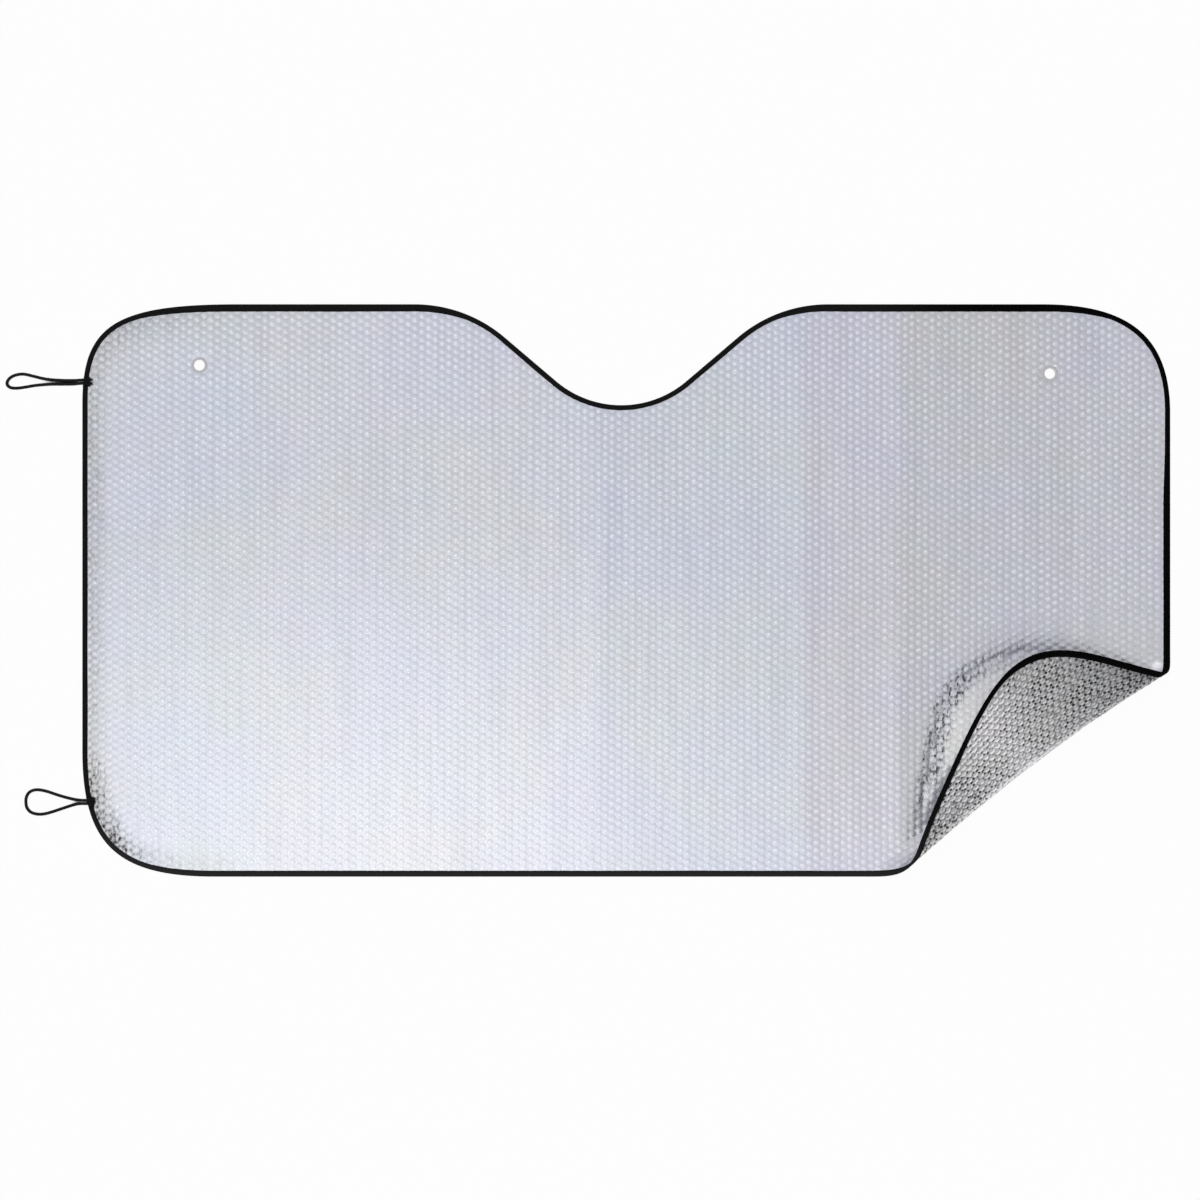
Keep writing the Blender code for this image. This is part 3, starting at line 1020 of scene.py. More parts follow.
def painted_fold_shade(tree, place):
    """Painted shade of the facets between the storage folds across the sheet, from left to right."""
    width = bpy.context.scene.shade_outline.width
    x = add(tree, "ShaderNodeSeparateXYZ", {0: place}).outputs[0]
    share = maths(tree, "MULTIPLY_ADD", x, 1 / width, 0.5)
    tints = add(tree, "ShaderNodeValToRGB", {0: share})
    stops = tints.color_ramp.elements
    stops.remove(stops[1])
    stops[0].position = PAINTED_FOLD_SHADES[0][0] / width + 0.5
    stops[0].color = opaque(PAINTED_FOLD_SHADES[0][1])
    for at, colour in PAINTED_FOLD_SHADES[1:]:
        stops.new(at / width + 0.5).color = opaque(colour)
    return tints.outputs[0]


def sheen(tree, place):
    """Painted sheen: brightening toward the lower left, a little warmer than the rest of the film."""
    away = vectors(tree, "DISTANCE", vectors(tree, "MULTIPLY", place, PAINTED_SHEEN_STRETCH), PAINTED_SHEEN_CENTRE)
    share = ramp(tree, away, 0.0, PAINTED_SHEEN_REACH)
    return mix_colour(tree, share, opaque(PAINTED_SHEEN), opaque((1.0, 1.0, 1.0)))


def hue_drift(tree, place):
    """Faint wandering colour of the thin metal layer, near white."""
    drift = add(tree, "ShaderNodeTexNoise", {"Vector": place, "Scale": HUES_PER_METRE, "Detail": 4.0})
    white_in_the_middle = vectors(tree, "MULTIPLY", drift.outputs[1], (2.0, 2.0, 2.0))
    return mix_colour(tree, HUE_SHARE, opaque((1.0, 1.0, 1.0)), white_in_the_middle)


def film_colour(tree, place, colours):
    """Two colours of film in patches, with painted fold shade, painted sheen, faint hues and painted shading.
    """
    patchy = noise_between(tree, place, PATCHES_PER_METRE, PATCH_LEVELS, detail=3.0)
    film = mix_colour(tree, patchy, *(opaque(colour) for colour in colours))
    # Painted light and shade of the piece as a colour factor
    painted_shading = add(tree, "ShaderNodeAttribute", attribute_name="painted_shading").outputs["Color"]
    for layer in (painted_fold_shade(tree, place), sheen(tree, place), hue_drift(tree, place), painted_shading):
        film = multiplied(tree, film, layer)
    return film


def bond_darkness(tree, place, distance, crinkle, painted_shade, valley_share):
    """How dark the film is between the domes: the bonded film's own darkness with painted shade in the
    valleys, raised and given an upright grain where the mask of painted shade is.
    """
    valley = ramp(tree, distance, DOME_TOP_RADIUS, BOND_RADIUS)
    level = maths(tree, "MULTIPLY_ADD", painted_shade, BOND_PAINTED_SHADE, valley_share)
    uneven = ramp(tree, crinkle, *CRINKLE_LEVELS, *CRINKLE_IN_BOND)
    stretched = vectors(tree, "MULTIPLY", place, GRAINS_PER_METRE)
    grain = noise_between(tree, stretched, 1.0, GRAIN_LEVELS, (0.0, GRAIN_IN_PAINTED_SHADE))
    return maths(tree, "MULTIPLY_ADD", grain, painted_shade, times(tree, valley, level, uneven))


def dot_darkness(tree, place, painted_shade, dot_share, second_share):
    """Painted shade: how dark the two dots beside each dome are, where three domes meet, where the mask of
    painted shade is.
    """
    right = ramp(tree, lattice_distance(tree, 1 / 3), DOT_RADIUS, DOT_CORE)
    uneven = noise_between(tree, place, DOT_NOISE_PER_METRE, DOT_NOISE_LEVELS, (WEAKEST_DOT, 1.0))
    right = times(tree, right, uneven)
    left = ramp(tree, lattice_distance(tree, -1 / 3), SECOND_DOT_RADIUS, SECOND_DOT_CORE)
    some = noise_between(
        tree, place, SECOND_DOT_NOISE_PER_METRE, SECOND_DOT_NOISE_LEVELS, (0.0, second_share)
    )
    left = times(tree, left, some)
    patch = noise_between(tree, place, DOT_PATCHES_PER_METRE, DOT_PATCH_LEVELS, DOT_PATCH_RANGE, 3.0)
    return times(tree, maths(tree, "MAXIMUM", right, left), patch, painted_shade, dot_share)


def film_material(name, colours, shares, roughness):
    """Metallised film: light domes, darker bonded valleys that are partly painted shade, painted dark dots
    where three domes meet, painted glints and crinkles.

    The shares are how dark the valleys, the painted dots and the painted second dots beside each dome are,
    and how light the painted glints on the tops of some domes are.
    """
    foil = bpy.context.scene.shade_foil
    made, tree, shader = new_material(name)
    place = object_place(tree)
    distance = lattice_distance(tree)
    crinkle = noise_level(tree, place, CRINKLE_PER_METRE)
    # Mask of painted shade that strengthens the dark valleys and the painted dark dots
    painted_shade = add(tree, "ShaderNodeAttribute", attribute_name="painted_shade").outputs["Fac"]
    valley_share, dot_share, second_share, painted_glint_share = shares
    bonded = bond_darkness(tree, place, distance, crinkle, painted_shade, valley_share)
    dots = dot_darkness(tree, place, painted_shade, dot_share, second_share)
    columns = vectors(tree, "MULTIPLY", flat_place(tree), STREAKS_ON_PATTERN)
    streak = noise_between(tree, columns, 1.0, STREAK_LEVELS, (-STREAK, STREAK))
    # Darkness of the bonded valleys with their painted shade, the streaks, and the painted dark dots
    dark = maths(tree, "MAXIMUM", maths(tree, "ADD", bonded, streak), dots)
    dark = add(tree, "ShaderNodeClamp", {"Value": dark}).outputs[0]
    # Painted highlight on the tops of some domes
    painted_glint = ramp(tree, distance, PAINTED_GLINT_RADIUS, PAINTED_GLINT_CORE)
    painted_glint = times(tree, painted_glint, painted_glint_share, noise_between(tree, place, PAINTED_GLINTS_PER_METRE, PAINTED_GLINT_LEVELS))
    film = mix_colour(tree, painted_glint, film_colour(tree, place, colours), opaque(foil.painted_glint_colour))
    toned = mix_colour(tree, dark, film, opaque(foil.bond_and_painted_shade_colour))
    rough = maths(tree, "MULTIPLY_ADD", crinkle, CRINKLE_IN_GLOSS, roughness - CRINKLE_IN_GLOSS / 2)
    connect(tree, shader, {"Base Color": toned, "Roughness": rough, "Metallic": 1.0})
    dome = ramp(tree, distance, 0.0, BOND_RADIUS, 1.0, 0.0)
    height = maths(tree, "MULTIPLY_ADD", crinkle, CRINKLE_IN_BUMP, dome)
    bumped(tree, shader, height, FILM_BUMP_STRENGTH, FILM_BUMP)
    return made


FRONT_SHARES = (0.15, 0.50, 1.0, 0.52)
FRONT_ROUGHNESS = 0.28
BACK_SHARES = (0.05, 0.90, 1.6, 0.0)
BACK_ROUGHNESS = 0.26

# Shape of one bubble's cell of film, and how much the bubbles differ
DOME_RING = 3.1 * MM
DOME_RING_HEIGHT = 0.64
HALF_SIDE = math.radians(30)
BUBBLE_VARIATION = 0.10
BUBBLE_LIMITS = (0.6, 1.4)
BUBBLE_SIZES = 997
BUBBLE_STRIDES = (131, 17)
RING_VARIATION = 0.05

# Edges of the films, and how far past the tape or a collar the film opens and its bubbles are whole
FILM_EDGE = 3.6 * MM
HOLE_FILM_EDGE = 1.3 * MM
THINNEST_FACE = 0.05 * MM
PRESSED_SLOPE = (0.3 * MM, 3.0 * MM)
BUBBLES_GROW = (-1 * MM, 5.0 * MM)
CUP_RIM_WIDTH = 3.2 * MM
TAUT_BUBBLES = 0.70

# Film beside the flap and on it, with the painted dark dots and painted light and shade of the flap; the
# shares go along the roll from the right edge toward the bottom
FLAP_SHELTER = (26 * MM, 130 * MM)
FLAP_CALM = 0.80
FLAP_START = (-5 * MM, 15 * MM)
FLAP_SHARES = (0.0, 0.25, 0.50, 0.80)
FLAP_PAINTED_SHADES = (2.10, 1.35, 0.80, 1.90)
FLAP_PAINTED_SHADING = (0.40, 0.98, 1.36, 0.96)


def flat_bubbles():
    """A sheet of six-sided cells, each with a raised dome: z is 0 at its edge and 1 at its top."""
    outline = bpy.context.scene.shade_outline
    pitch = bpy.context.scene.shade_foil.bubble_pitch
    pair_width = math.sqrt(3) * pitch
    bm = bmesh.new()
    for centre in (Vector((0, 0, 0)), Vector((pair_width / 2, pitch / 2, 0))):
        cell = bmesh.ops.create_circle(bm, cap_ends=True, segments=6, radius=pitch / math.sqrt(3))["verts"]
        bmesh.ops.rotate(bm, verts=cell, matrix=Matrix.Rotation(HALF_SIDE, 3, "Z"))
        bmesh.ops.translate(bm, verts=cell, vec=centre)
        face = cell[0].link_faces[0]
        set_in = pitch / 2 - DOME_RING * math.cos(HALF_SIDE)
        bmesh.ops.inset_individual(bm, faces=[face], thickness=set_in, depth=0)
        bmesh.ops.translate(bm, verts=face.verts, vec=(0, 0, DOME_RING_HEIGHT))
        top = bmesh.ops.poke(bm, faces=[face])["verts"]
        bmesh.ops.translate(bm, verts=top, vec=(0, 0, 1 - DOME_RING_HEIGHT))
    bmesh.ops.remove_doubles(bm, verts=bm.verts, dist=BUBBLE_WELD)
    columns = math.ceil(outline.width / pair_width) + 2
    rows = math.ceil(outline.height / pitch) + 2
    bmesh.ops.translate(bm, verts=bm.verts, vec=(-columns // 2 * pair_width, -rows // 2 * pitch, 0))
    unit = bpy.data.objects.new("bubble_pair", mesh_from(bm, "bubble_pair"))
    tiled = repeated(unit, [(columns, (pair_width, 0, 0)), (rows, (0, pitch, 0))])
    bm = bmesh.new()
    bm.from_mesh(tiled)
    bmesh.ops.remove_doubles(bm, verts=bm.verts, dist=BUBBLE_WELD)
    bmesh.ops.triangulate(bm, faces=bm.faces, quad_method="BEAUTY")
    return mesh_from(bm, "flat_bubbles")


def beside_flap(xy):
    """1 on the panel close to the free edge of the flap, where the film is pulled flatter, and 0 away."""
    even, _, _ = bound_edge()
    _, past, _ = roll_place(even)
    free_edge = lay_out(even[past > 0], 0.0)[:, :2]
    gap = np.linalg.norm(xy - free_edge[nearest(point_tree(free_edge), xy)], axis=1)
    return 1 - smooth_step(gap, *FLAP_SHELTER)


def bubble_sizes(xy, rng):
    """A height factor for the bubble that each place belongs to."""
    pitch = bpy.context.scene.shade_foil.bubble_pitch
    cell = np.array([math.sqrt(3) * pitch, pitch])
    even = np.round(xy / cell)
    odd = np.floor(xy / cell) + 0.5
    closer = np.linalg.norm(xy - odd * cell, axis=1) < np.linalg.norm(xy - even * cell, axis=1)
    index = (np.where(closer[:, None], odd, even) * 2).astype(int)
    table = rng.normal(1.0, BUBBLE_VARIATION, BUBBLE_SIZES)
    return np.clip(table[index @ BUBBLE_STRIDES % BUBBLE_SIZES], *BUBBLE_LIMITS)


def film(name, flat, side, bubble_height, finish):
    """One film of the laminate over its bubbles; side is 1 for the front and -1 for the back."""
    pitch = bpy.context.scene.shade_foil.bubble_pitch
    rng = np.random.default_rng(SEED + side)
    mesh = flat.copy()
    places = vertex_places(mesh)
    xy, dome = places[:, :2], places[:, 2]
    inset, way_out, covered, from_bound = nearest_cut(xy)
    edge_line = np.where(covered == CUP_RIM_WIDTH, HOLE_FILM_EDGE, FILM_EDGE)
    outside = inset < edge_line
    whole = smooth_step(inset - covered, *BUBBLES_GROW)
    open_level = smooth_step(inset - covered, *PRESSED_SLOPE)
    lift = sheet_lift(xy, from_bound)
    painted_shade, taut, painted_shading = front_film_state(xy, from_bound) if side > 0 else back_film_state(xy)
    _, past, _ = roll_place(xy)
    on_flap = smooth_step(past, *FLAP_START)
    size = bubble_sizes(xy, rng) * np.where(dome > 0, rng.normal(1, RING_VARIATION, len(dome)), 1)
    calm = np.maximum(TAUT_BUBBLES * taut, FLAP_CALM * beside_flap(xy) * (1 - on_flap))
    relief = bubble_height * dome * size * whole * (1 - calm)
    level = mix(PRESSED_HALF, SHEET_HALF - bubble_height, open_level)
    pulled = xy + way_out * np.where(outside, inset - edge_line, 0)[:, None]
    shaped = lay_out(pulled, side * (level + relief) + lift)
    set_places(mesh, shaped)

    corners = np.empty(len(mesh.loops), np.int32)
    mesh.loops.foreach_get("vertex_index", corners)
    pattern = mesh.uv_layers.new(name="flat")
    scaled = xy / np.array([math.sqrt(3) * pitch, pitch])
    pattern.data.foreach_set("uv", scaled[corners].astype(np.float32).ravel())
    # Mask of painted shade for the dark dots and valleys
    set_point_values(mesh, "painted_shade", "FLOAT", "value", painted_shade)
    # Painted light and shade of the film as a colour factor
    set_point_values(mesh, "painted_shading", "FLOAT_COLOR", "color", np.column_stack([painted_shading, np.ones(len(painted_shading))]))

    bm = bmesh.new()
    bm.from_mesh(mesh)
    dropped = [face for face in bm.faces if all(outside[vert.index] for vert in face.verts)]
    bmesh.ops.delete(bm, geom=dropped, context="FACES")
    bmesh.ops.dissolve_degenerate(bm, dist=THINNEST_FACE, edges=bm.edges)
    if side < 0:
        bmesh.ops.reverse_faces(bm, faces=bm.faces)
    bm.to_mesh(mesh)
    bm.free()
    return finished(name, mesh, finish)


class SHADE_OT_films(Operator):
    """Make the front and back films of the laminate with all their bubbles"""

    bl_idname = "shade.films"
    bl_label = "Foil films"

    def execute(self, context):
        foil = context.scene.shade_foil
        front_colours = (foil.front_colour, foil.front_shade_colour)
        back_colours = (foil.back_colour, foil.back_shade_colour)
        front_finish = film_material("front_film", front_colours, FRONT_SHARES, FRONT_ROUGHNESS)
        back_finish = film_material("back_film", back_colours, BACK_SHARES, BACK_ROUGHNESS)
        flat = flat_bubbles()
        front = film("front_film", flat, 1, foil.front_bubble_height, front_finish)
        back = film("back_film", flat, -1, foil.back_bubble_height, back_finish)
        bpy.data.meshes.remove(flat)
        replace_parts(front, "laminate_panel")
        enclosed_area(bound_edge()[0])
        return {"FINISHED"}


# Collars of the cup holes
CUP_RIM_THICKNESS = 0.25 * MM
CUP_RIM_CLEARANCE = 0.05 * MM
CUP_RIM_SIDES = 64
CUP_RIM_ROUGHNESS = 0.42


def cup_rim(name, centre, finish):
    """The pressed and welded edge of one cup hole: a flat collar gripping both films round the hole."""
    outline = bpy.context.scene.shade_outline
    hole = outline.cup_hole_diameter / 2
    grip = PRESSED_HALF + CUP_RIM_CLEARANCE
    face = grip + CUP_RIM_THICKNESS
    foot = hole + CUP_RIM_WIDTH
    soft = CUP_RIM_THICKNESS / 2
    front = [(foot, grip), (foot, face - soft), (foot - soft, face), (hole + soft, face), (hole, face - soft)]
    inside = hole + CUP_RIM_THICKNESS
    section = front + [(r, -z) for r, z in reversed(front)] + [(inside, -grip), (inside, grip)]
    bm = bmesh.new()
    place = np.array([centre[:]])
    lift = sheet_lift(place, nearest_cut(place)[3])
    middle = Vector((*centre, SHEET_MIDDLE + lift[0]))
    verts = [bm.verts.new(middle + Vector((r, 0, z))) for r, z in section]
    edges = [bm.edges.new((verts[i - 1], verts[i])) for i in range(len(verts))]
    bmesh.ops.spin(
        bm,
        geom=[*verts, *edges],
        cent=middle,
        axis=(0, 0, 1),
        angle=math.tau,
        steps=CUP_RIM_SIDES,
        use_merge=True,
    )
    bmesh.ops.recalc_face_normals(bm, faces=bm.faces)
    return finished(name, mesh_from(bm, name), finish)


class SHADE_OT_cup_rims(Operator):
    """Make the pressed edges of the two suction cup holes"""

    bl_idname = "shade.cup_rims"
    bl_label = "Cup hole rims"

    def execute(self, context):
        outline = context.scene.shade_outline
        made, tree, shader = new_material("pressed_film")
        colour = opaque(context.scene.shade_foil.rim_colour)
        connect(tree, shader, {"Base Color": colour, "Metallic": 1.0, "Roughness": CUP_RIM_ROUGHNESS})
        cup_rim("left_cup_rim", outline.left_cup_hole, made)
        cup_rim("right_cup_rim", outline.right_cup_hole, made)
        return {"FINISHED"}


# Shape of the tape's section, and of the seam along it
TAPE_STATION = 2 * MM
TAPE_EDGE_SOFTNESS = 0.12 * MM
SEAM_GROOVE_WIDTH = 0.55 * MM
SEAM_GROOVE_DEPTH = 0.14 * MM
TAPE_WANDER = 0.22 * MM
WANDERS_PER_METRE = 16.0
TAPE_SECTION_LENGTH = 22 * MM
STITCH_SIDES = 6
STITCH_RINGS = 4
STITCH_HALF = 0.42
STITCH_LEAN = math.radians(5)


def tape_section():
    """Corners of the tape's closed section: 1 if measured from its inner edge, how far in, and the rise."""
    binding = bpy.context.scene.shade_binding
    inner = binding.inner_radius
    outer = inner + binding.thickness
    seam = binding.stitch_inset
    leg = [
        (1, 0, outer - TAPE_EDGE_SOFTNESS),
        (1, TAPE_EDGE_SOFTNESS, outer),
        (1, seam - SEAM_GROOVE_WIDTH, outer),
        (1, seam, outer - SEAM_GROOVE_DEPTH),
        (1, seam + SEAM_GROOVE_WIDTH, outer),
        (0, outer, outer),
    ]
    nose = [math.radians(angle) for angle in (60, 30, 0, -30, -60)]
    front = leg + [(0, outer - outer * math.cos(a), outer * math.sin(a)) for a in nose]
    back = [(kind, far, -rise) for kind, far, rise in reversed(leg)]
    fold = [math.radians(angle) for angle in (-90, -30, 30, 90)]
    inside = [(0, outer - inner * math.cos(a), inner * math.sin(a)) for a in fold]
    return np.array(front + back + [(1, 0, -inner), *inside, (1, 0, inner)])


def along_edge(shares):
    """Places and outward directions at shares of the way round the bound outline."""
    even, outward, _ = bound_edge()
    at = (shares % 1.0) * len(even)
    first = at.astype(int) % len(even)
    second = (first + 1) % len(even)
    part = (at - np.floor(at))[:, None]
    way = mix(outward[first], outward[second], part)
    return mix(even[first], even[second], part), way / np.linalg.norm(way, axis=1)[:, None]


def tape_inset(shares):
    """Reach of the tape with the slight wander of a hand-guided seam."""
    even, outward, length = bound_edge()
    reaches = tape_reaches(even, outward)
    reach = np.interp((shares % 1.0) * len(even), np.arange(len(even) + 1), [*reaches, reaches[0]])
    turn = shares * math.tau
    radius = WANDERS_PER_METRE * length / math.tau
    wander = [noise.noise((math.cos(a) * radius, math.sin(a) * radius, SEED)) for a in turn]
    return reach + TAPE_WANDER * np.array(wander)


def edge_binding(finish):
    """The tape, folded over the edge of both films all the way round."""
    section = tape_section()
    _, _, length = bound_edge()
    stations = round(length / TAPE_STATION)
    mesh, along, around = unit_grid("edge_binding", stations, len(section))
    corner_index = np.rint(around * len(section)).astype(int) % len(section)
    edge, outward = along_edge(along)
    from_inner, far, rise = section[corner_index].T
    inset = np.where(from_inner == 1, tape_inset(along) - far, far)
    set_places(mesh, lay_out(edge - outward * inset[:, None], rise))
    pattern = mesh.uv_layers[0]
    uv = np.empty(len(mesh.loops) * 2, np.float32)
    pattern.data.foreach_get("uv", uv)
    uv = uv.reshape(-1, 2) * np.array([length, TAPE_SECTION_LENGTH])
    pattern.data.foreach_set("uv", uv.astype(np.float32).ravel())
    close_seams(mesh)
    return finished("edge_binding_tape", mesh, finish)


def seam(name, side, finish):
    """One side's row of stitches, each a short soft thread lying in the tape's groove."""
    binding = bpy.context.scene.shade_binding
    _, _, length = bound_edge()
    count = round(length / binding.stitch_pitch)
    pitch = length / count
    bm = bmesh.new()
    ball = bmesh.ops.create_uvsphere(bm, u_segments=STITCH_SIDES, v_segments=STITCH_RINGS, radius=1)
    thread = ball["verts"]
    bmesh.ops.rotate(bm, verts=thread, matrix=Matrix.Rotation(math.radians(90), 3, "Y"))
    radius = binding.thread_diameter / 2
    bmesh.ops.scale(bm, verts=thread, vec=(STITCH_HALF * pitch, radius, radius))
    bmesh.ops.rotate(bm, verts=thread, matrix=Matrix.Rotation(side * STITCH_LEAN, 3, "Z"))
    unit = bpy.data.objects.new(name, mesh_from(bm, name))
    mesh = repeated(unit, [(count, (pitch, 0, 0))])
    places = vertex_places(mesh)
    shares = places[:, 0] / length
    edge, outward = along_edge(shares)
    inset = tape_inset(shares) - binding.stitch_inset + places[:, 1]
    top = binding.inner_radius + binding.thickness - SEAM_GROOVE_DEPTH
    set_places(mesh, lay_out(edge - outward * inset[:, None], side * (top + radius / 2) + places[:, 2]))
    close_seams(mesh, STITCH_WELD)
    return finished(name, mesh, finish)


def repeated(unit, steps):
    """The mesh of a small unit repeated by array modifiers, each with a count and an offset."""
    bpy.context.scene.collection.objects.link(unit)
    for count, step in steps:
        repeat = unit.modifiers.new("repeat", "ARRAY")
        repeat.count = count
        repeat.use_relative_offset = False
        repeat.use_constant_offset = True
        repeat.constant_offset_displace = step
        repeat.use_merge_vertices = True
        repeat.merge_threshold = SEAM_WELD
    bpy.context.view_layer.update()
    evaluated = unit.evaluated_get(bpy.context.evaluated_depsgraph_get())
    bm = bmesh.new()
    bm.from_mesh(evaluated.to_mesh())
    evaluated.to_mesh_clear()
    bpy.data.objects.remove(unit, do_unlink=True)
    return mesh_from(bm, "repeated")


# Finish of the tape, with painted shade toward the turned corner and painted light along the bottom edge
THREADS_PER_METRE = 2000.0
TAPE_ROUGHNESS = 0.85
TAPE_SHINE = 0.04
WEAVE_BUMP_STRENGTH = 0.5
TAPE_PAINTED_SHADE_FROM = (0.28, 0.42)
TAPE_PAINTED_SHADE_SHARE = 0.12
TAPE_PAINTED_LIGHT_UP_TO = (-0.325, -0.240)
TAPE_ABOVE_PAINTED_LIGHT_SHARE = 0.40
LINT_PER_METRE = 900.0
LINT_LEVELS = (0.55, 0.85)
LINT_SHARE = 0.5
LINT_LIGHTER = 3.0

# Finish of the threads and the elastic
FIBRES_PER_METRE = 2500.0
FIBRE_BUMP_STRENGTH = 0.4
FIBRE_BUMP = 0.05 * MM
THREAD_SHINE = 0.12
SEAM_THREAD_ROUGHNESS = 0.55
TACK_THREAD_ROUGHNESS = 0.5
ELASTIC_ROUGHNESS = 0.6


def tape_material():
    """Matt black woven tape: fine crossing threads and a little lint, with painted light along the bottom
    edge and painted shade toward the turned corner.
    """
    made, tree, shader = new_material("woven_tape")
    colour = bpy.context.scene.shade_binding.tape_colour
    along, around, _ = add(tree, "ShaderNodeSeparateXYZ", {0: flat_place(tree)}).outputs
    turn = THREADS_PER_METRE * math.pi
    waves = [maths(tree, "SINE", times(tree, way, turn)) for way in (along, around)]
    place = object_place(tree)
    lint = noise_level(tree, place, LINT_PER_METRE, 3.0)
    x, y, _ = add(tree, "ShaderNodeSeparateXYZ", {0: place}).outputs
    # Painted light and shade: lighter along the bottom edge, darker toward the turned corner
    lighter = times(
        tree,
        ramp(tree, x, *TAPE_PAINTED_SHADE_FROM, 1.0, TAPE_PAINTED_SHADE_SHARE),
        ramp(tree, y, *TAPE_PAINTED_LIGHT_UP_TO, 1.0, TAPE_ABOVE_PAINTED_LIGHT_SHARE),
    )
    toned = mix_colour(tree, lighter, opaque((0.0, 0.0, 0.0)), opaque(colour))
    linty = times(tree, ramp(tree, lint, *LINT_LEVELS, 0.0, LINT_SHARE), lighter)
    toned = mix_colour(tree, linty, toned, opaque([LINT_LIGHTER * value for value in colour]))
    finish = {"Base Color": toned, "Roughness": TAPE_ROUGHNESS, "Specular IOR Level": TAPE_SHINE}
    connect(tree, shader, finish)
    weave = maths(tree, "ADD", times(tree, *waves), lint)
    bumped(tree, shader, weave, WEAVE_BUMP_STRENGTH, FIBRE_BUMP)
    return made


def thread_material(name, colour, roughness):
    """Twisted thread or fine elastic yarn: dark with a soft sheen."""
    made, tree, shader = new_material(name)
    finish = {"Base Color": opaque(colour), "Roughness": roughness, "Specular IOR Level": THREAD_SHINE}
    connect(tree, shader, finish)
    fibres = noise_level(tree, object_place(tree), FIBRES_PER_METRE)
    bumped(tree, shader, fibres, FIBRE_BUMP_STRENGTH, FIBRE_BUMP)
    return made


class SHADE_OT_binding(Operator):
    """Make the tape folded over the edge of the sheet"""

    bl_idname = "shade.binding"
    bl_label = "Edge binding"

    def execute(self, context):
        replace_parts(edge_binding(tape_material()), "edge_binding")
        return {"FINISHED"}


class SHADE_OT_seams(Operator):
    """Make the rows of stitches on the front and the back of the tape"""

    bl_idname = "shade.seams"
    bl_label = "Binding stitches"

    def execute(self, context):
        colour = context.scene.shade_binding.thread_colour
        thread = thread_material("seam_thread", colour, SEAM_THREAD_ROUGHNESS)
        seam("front_seam", 1, thread)
        seam("back_seam", -1, thread)
        return {"FINISHED"}


# Detail of the cords
CORD_RING = 0.5 * MM
CORD_SIDES = 24
BRAID_PAIRS = 6
BRAID_LAY = 3.0 * MM
BRAID_DEPTH = 0.09
MELTED_END = 1.0 * MM
MELTED_START = -0.3 * MM
PRESSED_CORD = 0.95
PRESSED_UP_TO = (14 * MM, 26 * MM)
CORD_PATH_STEP = 2 * MM


def bent_tube(name, path, along_steps, sides, radius_at):
    """The parts of a closed tube along a path: its grid, shares along it, angles round it, places and ways on
    the path, and radii. radius_at takes how far along, the angle and the path's length."""
    mesh, along, around = unit_grid(name, along_steps, sides)
    angle = around * math.tau
    lengths = np.concatenate([[0.0], np.cumsum(np.linalg.norm(np.diff(path, axis=0), axis=1))])
    way = np.gradient(path, lengths, axis=0)
    at = along * lengths[-1]
    place = np.column_stack([np.interp(at, lengths, path[:, i]) for i in range(3)])
    way = np.column_stack([np.interp(at, lengths, way[:, i]) for i in range(3)])
    way /= np.linalg.norm(way, axis=1)[:, None]
    return mesh, along, angle, place, way, radius_at(at, angle, lengths[-1])


def across_frame(way, upright):
    """Two directions square to each other and to the way along a tube; upright is never along the way."""
    side = np.cross(way, upright)
    side /= np.linalg.norm(side, axis=1)[:, None]
    return side, np.cross(side, way)


def braid_radius(at, angle, length):
    """Radius of the braided cover at a place along the cord and an angle round it, drawn in at the ends."""
    radius = bpy.context.scene.shade_loops.cord_diameter / 2
    lay = at * math.tau / BRAID_LAY
    over = np.cos((BRAID_PAIRS * angle + lay * 2) / 2) * np.cos((BRAID_PAIRS * angle - lay * 2) / 2)
    from_end = np.minimum(at, length - at)
    closing = np.sqrt(smooth_step(from_end, MELTED_START, MELTED_END))
    pressed = mix(PRESSED_CORD, 1, smooth_step(from_end, *PRESSED_UP_TO))
    return radius * pressed * (1 - BRAID_DEPTH * (1 - np.abs(over))) * closing


def elastic_loop(name, route, finish):
    """A braided elastic cord from one cut end on the panel round the loop to the other."""
    path = smooth_route(route, CORD_RING)
    mesh, _, angle, place, way, radius = bent_tube(name, path, len(path) - 1, CORD_SIDES, braid_radius)
    side, up = across_frame(way, (0, 0, 1))
    around = side * np.cos(angle)[:, None] + up * np.sin(angle)[:, None]
    set_places(mesh, place + around * radius[:, None])
    close_seams(mesh)
    return finished(name, mesh, finish)


class SHADE_OT_loops(Operator):
    """Make the two braided elastic loops"""

    bl_idname = "shade.loops"
    bl_label = "Elastic loops"

    def execute(self, context):
        loops = context.scene.shade_loops
        finish = thread_material("braided_elastic", loops.cord_colour, ELASTIC_ROUGHNESS)
        for name, route, exit_place in (
            ("upper_loop_cord", UPPER_LOOP_ROUTE, UPPER_LOOP_ROUTE[4]),
            ("lower_loop_cord", LOWER_LOOP_ROUTE, LOWER_LOOP_ROUTE[4]),
        ):
            made = elastic_loop(name, route, finish)
            path = smooth_route(route, CORD_PATH_STEP)
            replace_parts(made, name.replace("loop_cord", "elastic_loop"))
        return {"FINISHED"}


# Detail of the bar tacks
TACK_THREADS = 14
TACK_THREAD_FULLNESS = 0.62
TACK_THREAD_SIDES = 8
TACK_STEPS = 36
TACK_PATH_STEP = 0.2 * MM
TACK_ARCH_POINTS = 9
TACK_SINK = 0.2 * MM
TACK_LEAN = 0.12 * MM
TACK_UNEVEN = 0.05 * MM
TACK_ABOVE_CORD = 0.42 * MM
TACK_DIP = 0.9 * MM
TACK_FOOT = 1.6 * MM
UPPER_TACK_FROM_EDGE = 4.7 * MM
LOWER_TACK_FROM_EDGE = 5.3 * MM


